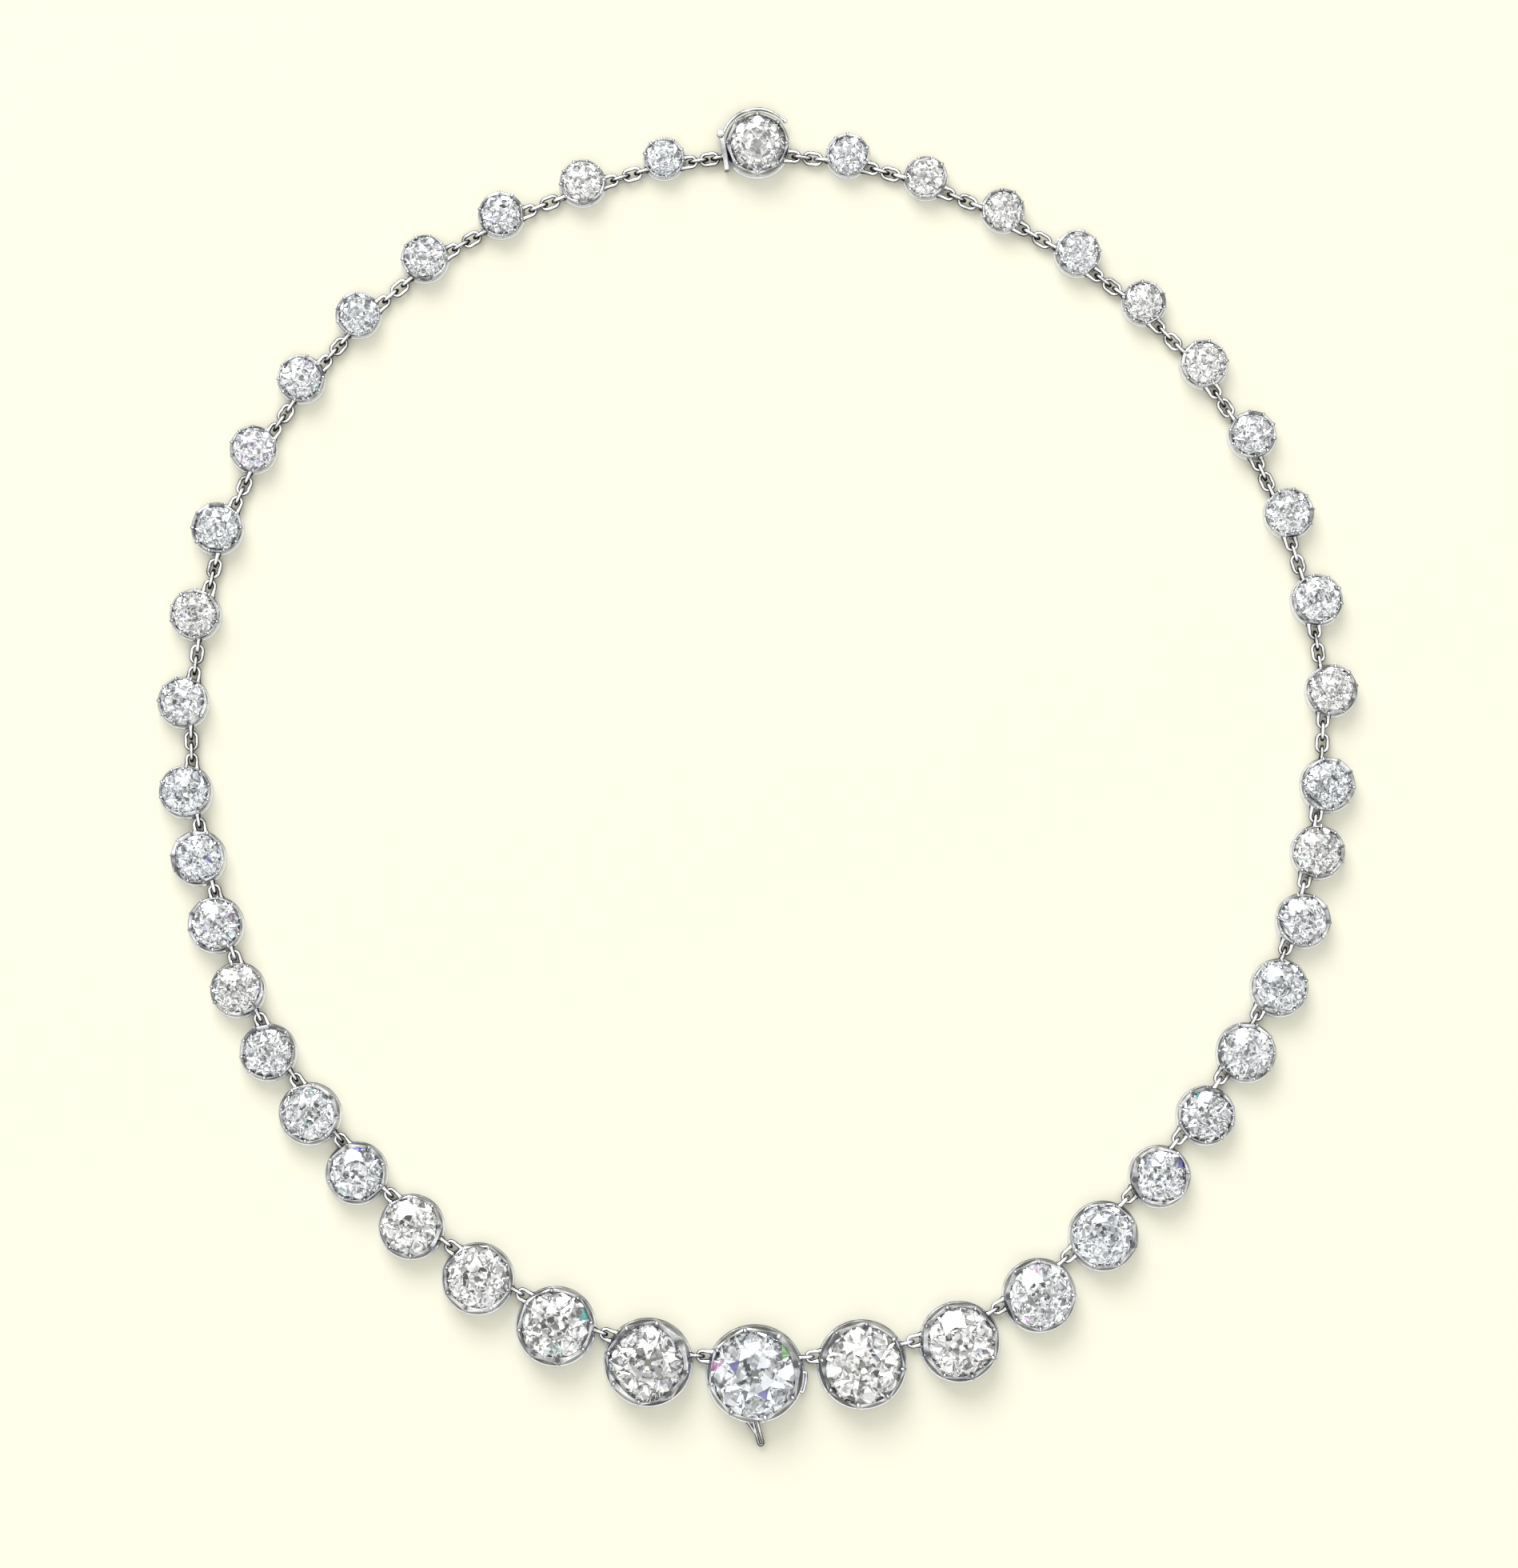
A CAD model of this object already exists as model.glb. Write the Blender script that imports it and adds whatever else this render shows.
"""Dresses the diamond riviere necklace.

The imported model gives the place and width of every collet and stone. This script makes each of them again
as a jeweller would finish it: hand-cut stones, cut-down collets with worn rims and beaded claws, soldered
rings, loose links, the clasp's tongue with its safety catch, and the front collet's fittings. It then lights
the necklace as it lies on a pale ground. Lengths are in millimetres unless a name ends in _m, and pieces are
scaled to metres when they are made.
"""

import logging
import math
import random
from collections.abc import Callable, Iterable, Sequence
from dataclasses import dataclass, field, replace
from enum import Enum

import bmesh
import bpy
import numpy as np
from mathutils import Matrix, Vector

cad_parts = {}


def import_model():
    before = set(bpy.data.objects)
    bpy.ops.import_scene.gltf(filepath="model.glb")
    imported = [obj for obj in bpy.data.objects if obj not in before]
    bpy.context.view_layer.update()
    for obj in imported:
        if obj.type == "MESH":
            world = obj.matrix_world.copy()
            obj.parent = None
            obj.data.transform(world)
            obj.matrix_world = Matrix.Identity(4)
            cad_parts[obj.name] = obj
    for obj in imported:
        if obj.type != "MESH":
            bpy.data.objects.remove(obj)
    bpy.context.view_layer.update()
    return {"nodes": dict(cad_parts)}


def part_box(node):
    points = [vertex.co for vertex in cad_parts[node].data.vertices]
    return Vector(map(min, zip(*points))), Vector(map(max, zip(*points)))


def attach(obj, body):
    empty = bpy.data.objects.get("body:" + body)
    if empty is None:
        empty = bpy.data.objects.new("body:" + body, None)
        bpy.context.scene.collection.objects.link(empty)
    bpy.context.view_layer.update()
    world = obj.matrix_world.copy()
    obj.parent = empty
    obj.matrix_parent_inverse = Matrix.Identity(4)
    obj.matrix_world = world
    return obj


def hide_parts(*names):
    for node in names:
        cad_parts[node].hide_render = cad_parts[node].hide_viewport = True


LOG = logging.getLogger("riviere")
MM = 0.001
ROOT = "root"
CATCH = "safety_catch"
UP = Vector((0.0, 0.0, 1.0))
# The mesh attribute that varies a finish over a piece: added tarnish on silver, tilt in stones
VARIED = "varied"
Pair = tuple[float, float]
Triple = tuple[float, float, float]


class Slot(Enum):
    """The record's material slots."""

    COLLET = "collet_silver"
    LINK = "link_silver"
    CLASP = "clasp_silver"
    DIAMOND = "diamond"


def polar(radius: float, degrees: float, z: float = 0.0) -> Vector:
    """Returns the point at a radius and an angle in the horizontal plane, at a height."""
    angle = math.radians(degrees)
    return Vector((radius * math.cos(angle), radius * math.sin(angle), z))


def sine(degrees: float) -> float:
    """Returns the sine of an angle in degrees."""
    return math.sin(math.radians(degrees))


def cosine(degrees: float) -> float:
    """Returns the cosine of an angle in degrees."""
    return math.cos(math.radians(degrees))


def tangent(degrees: float) -> float:
    """Returns the tangent of an angle in degrees."""
    return math.tan(math.radians(degrees))


class Nodes:
    """A short way to write a shader's node tree."""

    def __init__(self, tree: bpy.types.NodeTree) -> None:
        """Keeps the tree and empties it.

        Args:
            tree: The node tree to write in.
        """
        self.tree = tree
        self.tree.nodes.clear()

    def feed(self, target: bpy.types.NodeSocket, value: object) -> None:
        """Gives a value to an input socket.

        Args:
            target: The input socket.
            value: The value, or an output socket to link it to.
        """
        if isinstance(value, bpy.types.NodeSocket):
            self.tree.links.new(value, target)
        else:
            target.default_value = value

    def add(self, kind: str, **settings: object) -> bpy.types.Node:
        """Adds a node.

        Args:
            kind: The node's type without its ShaderNode prefix.
            **settings: Properties of the node, or what its inputs with those names get, with _ for a space.

        Returns:
            The new node.
        """
        node = self.tree.nodes.new("ShaderNode" + kind)
        for key, value in settings.items():
            if hasattr(node, key):
                setattr(node, key, value)
            else:
                self.feed(node.inputs[key.replace("_", " ")], value)
        return node

    def math(self, operation: str, *terms: object, clamp: bool = False) -> bpy.types.NodeSocket:
        """Adds a math node.

        Args:
            operation: The node's operation.
            *terms: Numbers or output sockets, in order.
            clamp: Whether the result is kept between 0 and 1.

        Returns:
            The node's output socket.
        """
        node = self.add("Math", operation=operation, use_clamp=clamp)
        for target, term in zip(node.inputs, terms):
            self.feed(target, term)
        return node.outputs[0]

    def vector(self, operation: str, *terms: object) -> bpy.types.NodeSocket:
        """Adds a vector math node.

        Args:
            operation: The node's operation.
            *terms: Vectors or output sockets, in order.

        Returns:
            The node's output socket, which is a number for a dot product.
        """
        node = self.add("VectorMath", operation=operation)
        for target, term in zip(node.inputs, terms):
            self.feed(target, term)
        return node.outputs["Value" if operation == "DOT_PRODUCT" else "Vector"]

    def smooth_step(self, value: bpy.types.NodeSocket, low: float, high: float,
                    to_low: float = 0.0, to_high: float = 1.0) -> bpy.types.NodeSocket:
        """Maps a value smoothly from one range to another.

        Args:
            value: The output socket to map.
            low: The value that gives to_low.
            high: The value that gives to_high.
            to_low: The result at and below low.
            to_high: The result at and above high.

        Returns:
            The output socket.
        """
        node = self.add("MapRange", interpolation_type="SMOOTHSTEP", Value=value, From_Min=low, From_Max=high,
                        To_Min=to_low, To_Max=to_high)
        return node.outputs["Result"]

    def noise(self, vector: bpy.types.NodeSocket, scale: float, detail: float) -> bpy.types.NodeSocket:
        """Adds a noise texture.

        Args:
            vector: Where the noise is looked up.
            scale: How fine it is, per metre.
            detail: How many finer layers it has.

        Returns:
            The noise's value.
        """
        return self.add("TexNoise", Vector=vector, Scale=scale, Detail=detail).outputs["Fac"]


def new_material(name: str) -> tuple[bpy.types.Material, Nodes]:
    """Starts a material.

    Args:
        name: Its name.

    Returns:
        The material, and its nodes to write in.
    """
    material = bpy.data.materials.new(name)
    material.use_nodes = True
    return material, Nodes(material.node_tree)


@dataclass(frozen=True)
class Silver:
    """Old silver: bright where wear keeps it clean, grey where tarnish stays.

    Attributes:
        name: The material's name.
        tarnish: How tarnished it is all over, from 0 to 1.
        patchiness: How much that varies from place to place.
        bright: The clean metal's colour.
        dull: The tarnished metal's colour.
        polish: Roughness of the clean metal.
        matt: Roughness of the tarnished metal.
        glance: How bright the metal stays where it is seen at a glancing angle.
        hollows: How much more tarnish stays on sides and undersides, where wear doesn't reach.
        worn_from: How far up a surface must face for wear to clean it wholly.
        worn_over: How much less far up it faces where wear stops.
        sides: The colour that sides take off what they reflect.
        sides_up: How far up a surface faces where that starts to fade, and where it has faded.
        relief: Height of the hammer and file marks, in millimetres.
        patches: How fine the patches of tarnish are, per metre.
        marks: How fine the marks are, per metre.
        dents: Depth of the broad dents, as a share of the marks'.
    """

    name: str
    tarnish: float
    patchiness: float = 0.25
    bright: Triple = (0.9, 0.905, 0.915)
    dull: Triple = (0.13, 0.132, 0.136)
    polish: float = 0.1
    matt: float = 0.4
    glance: float = 0.5
    hollows: float = 0.0
    worn_from: float = 0.95
    worn_over: float = 0.4
    sides: Triple = (0.9, 0.92, 1.0)
    sides_up: Pair = (0.4, 0.8)
    relief: float = 0.006
    patches: float = 700.0
    marks: float = 5200.0
    dents: float = 1.5

    def material(self) -> bpy.types.Material:
        """Makes the finish's material.

        Returns:
            The material.
        """
        material, nodes = new_material(self.name)
        place = nodes.add("TexCoord").outputs["Object"]
        broad = nodes.noise(place, self.patches, 3.0)
        fine = nodes.noise(place, self.marks, 2.0)
        up = nodes.add("SeparateXYZ", Vector=nodes.add("NewGeometry").outputs["Normal"]).outputs["Z"]
        spread = nodes.math("MULTIPLY", nodes.math("SUBTRACT", broad, 0.5), 4.0 * self.patchiness)
        grown = nodes.add("Attribute", attribute_name=VARIED).outputs["Fac"]
        kept = nodes.smooth_step(up, self.worn_from - self.worn_over, self.worn_from, self.hollows, 0.0)
        even = nodes.math("ADD", spread, self.tarnish)
        grime = nodes.math("ADD", even, nodes.math("ADD", grown, kept), clamp=True)
        colour = nodes.add("MixRGB", Fac=grime, Color1=(*self.bright, 1.0), Color2=(*self.dull, 1.0))
        steep = nodes.smooth_step(up, *self.sides_up, 1.0, 0.0)
        shaded = nodes.add("MixRGB", blend_type="MULTIPLY", Fac=steep, Color1=colour.outputs["Color"],
                           Color2=(*self.sides, 1.0))
        height = nodes.math("ADD", fine, nodes.math("MULTIPLY", broad, self.dents))
        bump = nodes.add("Bump", Strength=1.0, Distance=self.relief * MM, Height=height)
        shader = nodes.add("BsdfPrincipled", Metallic=1.0, Base_Color=shaded.outputs["Color"],
                           Specular_Tint=(self.glance, self.glance, self.glance, 1.0),
                           Roughness=nodes.smooth_step(grime, 0.0, 1.0, self.polish, self.matt),
                           Normal=bump.outputs["Normal"])
        nodes.add("OutputMaterial", Surface=shader.outputs["BSDF"])
        return material


@dataclass(frozen=True)
class Gem:
    """Diamond, polished or, on a girdle, left as it was ground.

    Attributes:
        name: The material's name.
        tint: The stone's body colour.
        roughness: 0 on a polished facet.
        wear: The highest roughness on a ground surface, or 0 where it is polished.
        grain: How fine the ground surface's grain is, per metre.
        grain_levels: The grain's levels where the roughness starts to rise, and where it is highest.
        planes: How many small planes a facet's polish breaks into, across the stone.
        apart: How far the pattern of planes may shift from stone to stone, so that no two stones share it.
        tilt: How far such a plane tilts at most, as a slope.
        rarity: How rare the strong tilts are, as the power of a chance.
        fire: The share of those planes that flash in a pure colour.
        purity: How pure that colour is.
        hue_from: The first hue of the flashes, as a share of the colour circle.
        hues: How far the hues go on from there.
        clear: How much light goes through, from 0 to 1.
        ior: The refractive index.
    """

    name: str
    tint: Triple = (1.0, 1.0, 1.0)
    roughness: float = 0.0
    wear: float = 0.0
    grain: float = 2600.0
    grain_levels: Pair = (0.35, 0.7)
    planes: float = 7.0
    apart: float = 50.0
    tilt: float = 0.06
    rarity: float = 2.0
    fire: float = 0.015
    purity: float = 0.4
    hue_from: float = 0.4
    hues: float = 0.45
    clear: float = 1.0
    ior: float = 2.417

    def material(self) -> bpy.types.Material:
        """Makes the finish's material.

        Returns:
            The material.
        """
        material, nodes = new_material(self.name)
        shader = nodes.add("BsdfPrincipled", Base_Color=(*self.tint, 1.0), Roughness=self.roughness,
                           IOR=self.ior, Transmission_Weight=self.clear)
        place = nodes.add("TexCoord")
        if self.wear:
            grain = nodes.noise(place.outputs["Object"], self.grain, 2.0)
            worn = nodes.smooth_step(grain, *self.grain_levels, self.roughness, self.wear)
            nodes.feed(shader.inputs["Roughness"], worn)
        else:
            shift = nodes.math("MULTIPLY", nodes.add("ObjectInfo").outputs["Random"], self.apart)
            own = nodes.vector("ADD", place.outputs["Generated"], shift)
            chance = nodes.add("TexVoronoi", Vector=own, Scale=self.planes).outputs["Color"]
            nodes.feed(shader.inputs["Normal"], self.tilted(nodes, chance))
            nodes.feed(shader.inputs["Base Color"], self.coloured(nodes, chance))
        nodes.add("OutputMaterial", Surface=shader.outputs["BSDF"])
        return material

    def tilted(self, nodes: Nodes, chance: bpy.types.NodeSocket) -> bpy.types.NodeSocket:
        """Tilts each small plane its own way.

        Args:
            nodes: The material's nodes.
            chance: Three numbers between 0 and 1 for each plane.

        Returns:
            The normal of the tilted planes.
        """
        parts = nodes.add("SeparateXYZ", Vector=chance)
        share = nodes.add("Attribute", attribute_name=VARIED).outputs["Fac"]
        centred = nodes.vector("SUBTRACT", chance, (0.5, 0.5, 0.5))
        rare = nodes.math("POWER", parts.outputs["Z"], self.rarity)
        # A centred chance reaches 0.5, so twice the tilt makes the steepest plane's slope the tilt itself
        slope = nodes.math("MULTIPLY", nodes.math("MULTIPLY", rare, 2.0 * self.tilt), share)
        step = nodes.vector("MULTIPLY", centred, slope)
        normal = nodes.add("NewGeometry").outputs["Normal"]
        return nodes.vector("NORMALIZE", nodes.vector("ADD", normal, step))

    def coloured(self, nodes: Nodes, chance: bpy.types.NodeSocket) -> bpy.types.NodeSocket:
        """Gives a pure colour to a few of the small planes.

        Args:
            nodes: The material's nodes.
            chance: Three numbers between 0 and 1 for each plane.

        Returns:
            The planes' colour.
        """
        parts = nodes.add("SeparateXYZ", Vector=chance)
        flash = nodes.math("GREATER_THAN", parts.outputs["X"], 1.0 - self.fire)
        hue = nodes.math("ADD", nodes.math("MULTIPLY", parts.outputs["Y"], self.hues), self.hue_from)
        pure = nodes.add("CombineColor", mode="HSV", Red=hue, Green=self.purity, Blue=1.0).outputs[0]
        return nodes.add("MixRGB", Fac=flash, Color1=(*self.tint, 1.0), Color2=pure).outputs[0]


@dataclass(frozen=True)
class Ground:
    """The pale surface that the necklace lies on.

    Attributes:
        name: The material's name.
        colour: Its colour.
        roughness: How matt it is.
    """

    name: str = "ivory_ground"
    colour: Triple = (0.81, 0.795, 0.65)
    roughness: float = 0.95

    def material(self) -> bpy.types.Material:
        """Makes the ground's material.

        Returns:
            The material.
        """
        material, nodes = new_material(self.name)
        shader = nodes.add("BsdfPrincipled", Base_Color=(*self.colour, 1.0), Roughness=self.roughness,
                           Specular_IOR_Level=0.0)
        nodes.add("OutputMaterial", Surface=shader.outputs["BSDF"])
        return material


class Finish(Enum):
    """The finishes of the necklace's surfaces."""

    WALL = Silver("silver_wall", tarnish=0.0, bright=(0.9, 0.91, 0.94), glance=1.0)
    CUT = Silver("silver_cut_facet", tarnish=0.5, patchiness=0.5, polish=0.2, matt=0.3, relief=0.015)
    CUT_PALE = replace(CUT, name="silver_cut_pale", tarnish=0.2)
    CUT_DARK = replace(CUT, name="silver_cut_dark", tarnish=0.75)
    LIP = replace(CUT, name="silver_lip", tarnish=0.42)
    RIM = Silver("silver_worn_rim", tarnish=0.1, patchiness=0.3, polish=0.14)
    CLAW = Silver("silver_claw", tarnish=0.12, patchiness=0.35, dull=(0.1, 0.1, 0.105), polish=0.12,
                  hollows=0.75)
    FOOT = Silver("silver_foot_band", tarnish=-0.1, patchiness=0.3, bright=(0.96, 0.97, 0.99), polish=0.2)
    INSIDE = Silver("silver_inside", tarnish=0.3, patchiness=0.2)
    SEAM = Silver("silver_seam", tarnish=0.95, patchiness=0.3, dull=(0.03, 0.03, 0.032), glance=0.2)
    WIRE = Silver("silver_wire", tarnish=-0.12, patchiness=0.7, bright=(0.97, 0.97, 0.975),
                  dull=(0.05, 0.048, 0.045), polish=0.12, glance=0.25, hollows=1.15, worn_from=0.94,
                  relief=0.045)
    OLD_WIRE = Silver("silver_old_wire", tarnish=0.35, patchiness=0.7, dull=(0.06, 0.06, 0.06), glance=0.25,
                      hollows=1.0, worn_from=0.99, relief=0.04)
    PLATE = Silver("silver_plate", tarnish=0.3, patchiness=0.5, dull=(0.1, 0.1, 0.1), polish=0.15,
                   hollows=0.4)
    PIN = Silver("silver_pin", tarnish=0.5, patchiness=0.2)
    WHITE = Gem("diamond_white", tint=(0.96, 0.985, 1.0))
    WARM = Gem("diamond_warm", tint=(0.985, 0.985, 0.965))
    COOL = Gem("diamond_cool", tint=(0.93, 0.97, 1.0))
    GIRDLE = Gem("diamond_girdle", tint=(0.9, 0.92, 0.93), roughness=0.35, wear=0.6)
    VIOLET = Gem("diamond_violet_flash", tint=(0.05, 0.04, 0.3), tilt=0.0, fire=0.0, clear=0.6)
    BLUE = Gem("diamond_blue_flash", tint=(0.4, 0.48, 0.75), fire=0.0, clear=0.8)
    PINK = Gem("diamond_pink_flash", tint=(0.8, 0.25, 0.6), fire=0.0, clear=0.7)
    TEAL = Gem("diamond_teal_flash", tint=(0.04, 0.42, 0.4), tilt=0.0, fire=0.0, clear=0.5)
    GREEN = Gem("diamond_green_flash", tint=(0.2, 0.5, 0.15), tilt=0.0, fire=0.0, clear=0.5)

    def material(self) -> bpy.types.Material:
        """Returns the finish's material, made at its first use."""
        return bpy.data.materials.get(self.value.name) or self.value.material()


class Shape:
    """A mesh that is being made in millimetres, with its finishes and how they vary over it."""

    BEAD_STEPS = 14
    WIRE_SIDES = 12
    TOUCH = 1e-5

    def __init__(self, *finishes: Finish) -> None:
        """Starts an empty mesh.

        Args:
            *finishes: The finishes of its surfaces, in the order of their material slots.
        """
        self.bm = bmesh.new()
        self.finishes = list(finishes)
        self.varied = self.bm.verts.layers.float.new(VARIED)

    def slot(self, finish: Finish) -> int:
        """Finds a finish among the mesh's own, and adds it if it is new.

        Args:
            finish: The finish.

        Returns:
            The index of its material slot.
        """
        if finish not in self.finishes:
            self.finishes.append(finish)
        return self.finishes.index(finish)

    def revolve(self, profile: Callable[[float], Sequence[Pair]], finishes: Sequence[Finish],
                segments: int) -> None:
        """Adds a solid that goes round the vertical axis.

        Args:
            profile: Gives the closed outline at an angle, as radius and height.
            finishes: The finish of each of the outline's sides.
            segments: How many steps go round.
        """
        turns = [360.0 * k / segments for k in range(segments)]
        rings = [[self.bm.verts.new(polar(r, turn, z)) for r, z in profile(turn)] for turn in turns]
        slots = [self.slot(f) for f in finishes]
        for k, ring in enumerate(rings):
            after = rings[(k + 1) % segments]
            for j, slot in enumerate(slots):
                n = (j + 1) % len(slots)
                self.bm.faces.new((ring[j], ring[n], after[n], after[j])).material_index = slot

    def cut(self, point: Vector, normal: Vector, finish: Finish) -> None:
        """Cuts off all that lies beyond a plane, and closes the cut.

        Args:
            point: A point on the plane.
            normal: The direction of the part that is cut away.
            finish: The finish of the new face.
        """
        geometry = self.bm.verts[:] + self.bm.edges[:] + self.bm.faces[:]
        result = bmesh.ops.bisect_plane(self.bm, geom=geometry, dist=self.TOUCH, plane_co=point,
                                        plane_no=normal, clear_outer=True)
        edges = [e for e in result["geom_cut"] if isinstance(e, bmesh.types.BMEdge)]
        if len(edges) > 2:
            made = bmesh.ops.contextual_create(self.bm, geom=edges)
            for face in made["faces"]:
                face.material_index = self.slot(finish)

    def sweep(self, path: Sequence[Vector], up: Vector, sections: Sequence[Sequence[Pair]], finish: Finish,
              closed: bool = False, tarnish: Sequence[float] = ()) -> None:
        """Sweeps a section along a path that lies in a plane.

        Args:
            path: The points of the path.
            up: The normal of the path's plane.
            sections: At each point the section's outline, as steps to the path's side and along up.
            finish: The finish of the swept surface.
            closed: Whether the path's end meets its start.
            tarnish: The added tarnish at each point.
        """
        slot = self.slot(finish)
        count = len(path)
        rings = []
        for k, point in enumerate(path):
            before = path[k - 1] if closed or k else point
            after = path[(k + 1) % count] if closed or k < count - 1 else point
            side = up.cross(after - before).normalized()
            ring = [self.bm.verts.new(point + side * s + up * u) for s, u in sections[k]]
            for vert in ring:
                vert[self.varied] = tarnish[k] if tarnish else 0.0
            rings.append(ring)
        for k in range(count if closed else count - 1):
            ring = rings[k]
            after = rings[(k + 1) % count]
            for j in range(len(ring)):
                n = (j + 1) % len(ring)
                face = self.bm.faces.new((ring[j], ring[n], after[n], after[j]))
                face.material_index = slot
        if not closed:
            for end in (rings[0][::-1], rings[-1]):
                self.bm.faces.new(end).material_index = slot

    def wire(self, path: Sequence[Vector], up: Vector, radii: Sequence[float], finish: Finish,
             closed: bool = False, sides: int = WIRE_SIDES, tarnish: Sequence[float] = ()) -> None:
        """Sweeps a round wire along a path that lies in a plane.

        Args:
            path: The points of the wire's middle line.
            up: The normal of the path's plane.
            radii: The wire's radius at each point.
            finish: The wire's finish.
            closed: Whether the wire is a whole ring.
            sides: How many sides the round has.
            tarnish: The added tarnish at each point.
        """
        turns = [360.0 * k / sides for k in range(sides)]
        sections = [[(r * cosine(a), r * sine(a)) for a in turns] for r in radii]
        self.sweep(path, up, sections, finish, closed, tarnish)

    def bead(self, centre: Vector, radii: Vector, finish: Finish, turn: float = 0.0) -> None:
        """Adds a bead.

        Args:
            centre: Its middle.
            radii: Its half widths, along its own axes.
            finish: Its finish.
            turn: The angle of its own x axis in the horizontal plane.
        """
        turned = Matrix.Translation(centre) @ Matrix.Rotation(math.radians(turn), 4, "Z")
        made = bmesh.ops.create_uvsphere(self.bm, u_segments=self.BEAD_STEPS, v_segments=self.BEAD_STEPS // 2,
                                         radius=1.0, matrix=turned @ Matrix.Diagonal((*radii, 1)))
        self.paint(made["verts"], finish)

    def slab(self, low: Vector, high: Vector, finish: Finish, move: Matrix | None = None) -> None:
        """Adds a box.

        Args:
            low: Its lowest corner.
            high: Its highest corner.
            finish: Its finish.
            move: A move of the box from there.
        """
        matrix = Matrix.Translation((low + high) / 2) @ Matrix.Diagonal((*(high - low), 1))
        made = bmesh.ops.create_cube(self.bm, size=1.0, matrix=(move or Matrix.Identity(4)) @ matrix)
        self.paint(made["verts"], finish)

    def paint(self, verts: Iterable[bmesh.types.BMVert], finish: Finish) -> None:
        """Gives a finish to the faces that have these corners.

        Args:
            verts: The corners.
            finish: The finish.
        """
        slot = self.slot(finish)
        for vert in verts:
            for face in vert.link_faces:
                face.material_index = slot

    def move(self, matrix: Matrix) -> None:
        """Moves all of the mesh."""
        bmesh.ops.transform(self.bm, matrix=matrix, verts=self.bm.verts)

    def object(self, name: str, smooth_deg: float = 30.0) -> bpy.types.Object:
        """Ends the mesh and makes its object, in metres.

        Args:
            name: The object's name.
            smooth_deg: The angle above which an edge stays sharp.

        Returns:
            The new object.
        """
        bmesh.ops.recalc_face_normals(self.bm, faces=self.bm.faces)
        self.move(Matrix.Scale(MM, 4))
        mesh = bpy.data.meshes.new(name)
        self.bm.to_mesh(mesh)
        self.bm.free()
        for finish in self.finishes:
            mesh.materials.append(finish.material())
        if smooth_deg:
            mesh.shade_smooth()
            mesh.set_sharp_from_angle(angle=math.radians(smooth_deg))
        made = bpy.data.objects.new(name, mesh)
        bpy.context.scene.collection.objects.link(made)
        return made


def soften(piece: bpy.types.Object, width: float, limit_deg: float, finish: Finish) -> None:
    """Rounds a piece's edges as wear does.

    Args:
        piece: The piece.
        width: How far the rounding reaches.
        limit_deg: The angle below which an edge is left as it is.
        finish: The finish of the rounded edges.
    """
    bevel = piece.modifiers.new("worn_edges", "BEVEL")
    bevel.width = width * MM
    bevel.segments = 2
    bevel.limit_method = "ANGLE"
    bevel.angle_limit = math.radians(limit_deg)
    bevel.material = piece.data.materials.find(finish.value.name)
    weighted = piece.modifiers.new("even_shading", "WEIGHTED_NORMAL")
    weighted.keep_sharp = False


@dataclass
class Mount:
    """Where one stone and its collet are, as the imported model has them.

    Attributes:
        index: Its number, clockwise from the clasp.
        centre: The middle of its foot.
        radius: Half the stone's width.
        cushion: How far the stone's flats lie in, as a share of its half width.
    """

    index: int
    centre: Vector
    radius: float
    cushion: float

    @property
    def width(self) -> float:
        """The stone's width."""
        return 2.0 * self.radius

    def flattened(self, degrees: float) -> float:
        """Returns the share of a round outline that a cushion-shaped stone keeps at an angle of its own."""
        return 1.0 - self.cushion * (1.0 + cosine(4.0 * degrees)) / 2.0


@dataclass(frozen=True)
class Cut:
    """The proportions of one stone, as shares of its width, or of its half width where _at ends the name.

    Attributes:
        table: Width of the table, corner to corner.
        crown: Height of the crown.
        girdle: Height of the girdle.
        pavilion: Depth of the pavilion.
        culet: Width of the culet.
        star_at: Where the stars end.
        lower_at: Where the lower halves end.
        wobble_deg: How far a facet may be off its right angle.
    """

    table: float = 0.45
    crown: float = 0.1645
    girdle: float = 0.016
    pavilion: float = 0.43
    culet: float = 0.085
    star_at: float = 0.73
    lower_at: float = 0.62
    wobble_deg: float = 0.9


# How far each proportion may be off from stone to stone, at least and at most
CUT_SPREAD: dict[str, Pair] = {
    "table": (-0.03, 0.04),
    "lower_at": (-0.08, 0.06),
    "pavilion": (0.0, -0.012),
    "star_at": (-0.03, 0.03),
    "culet": (-0.02, 0.03),
}
CLASP_CUT = Cut(table=0.6, crown=0.12, culet=0.17, lower_at=0.55)


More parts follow.
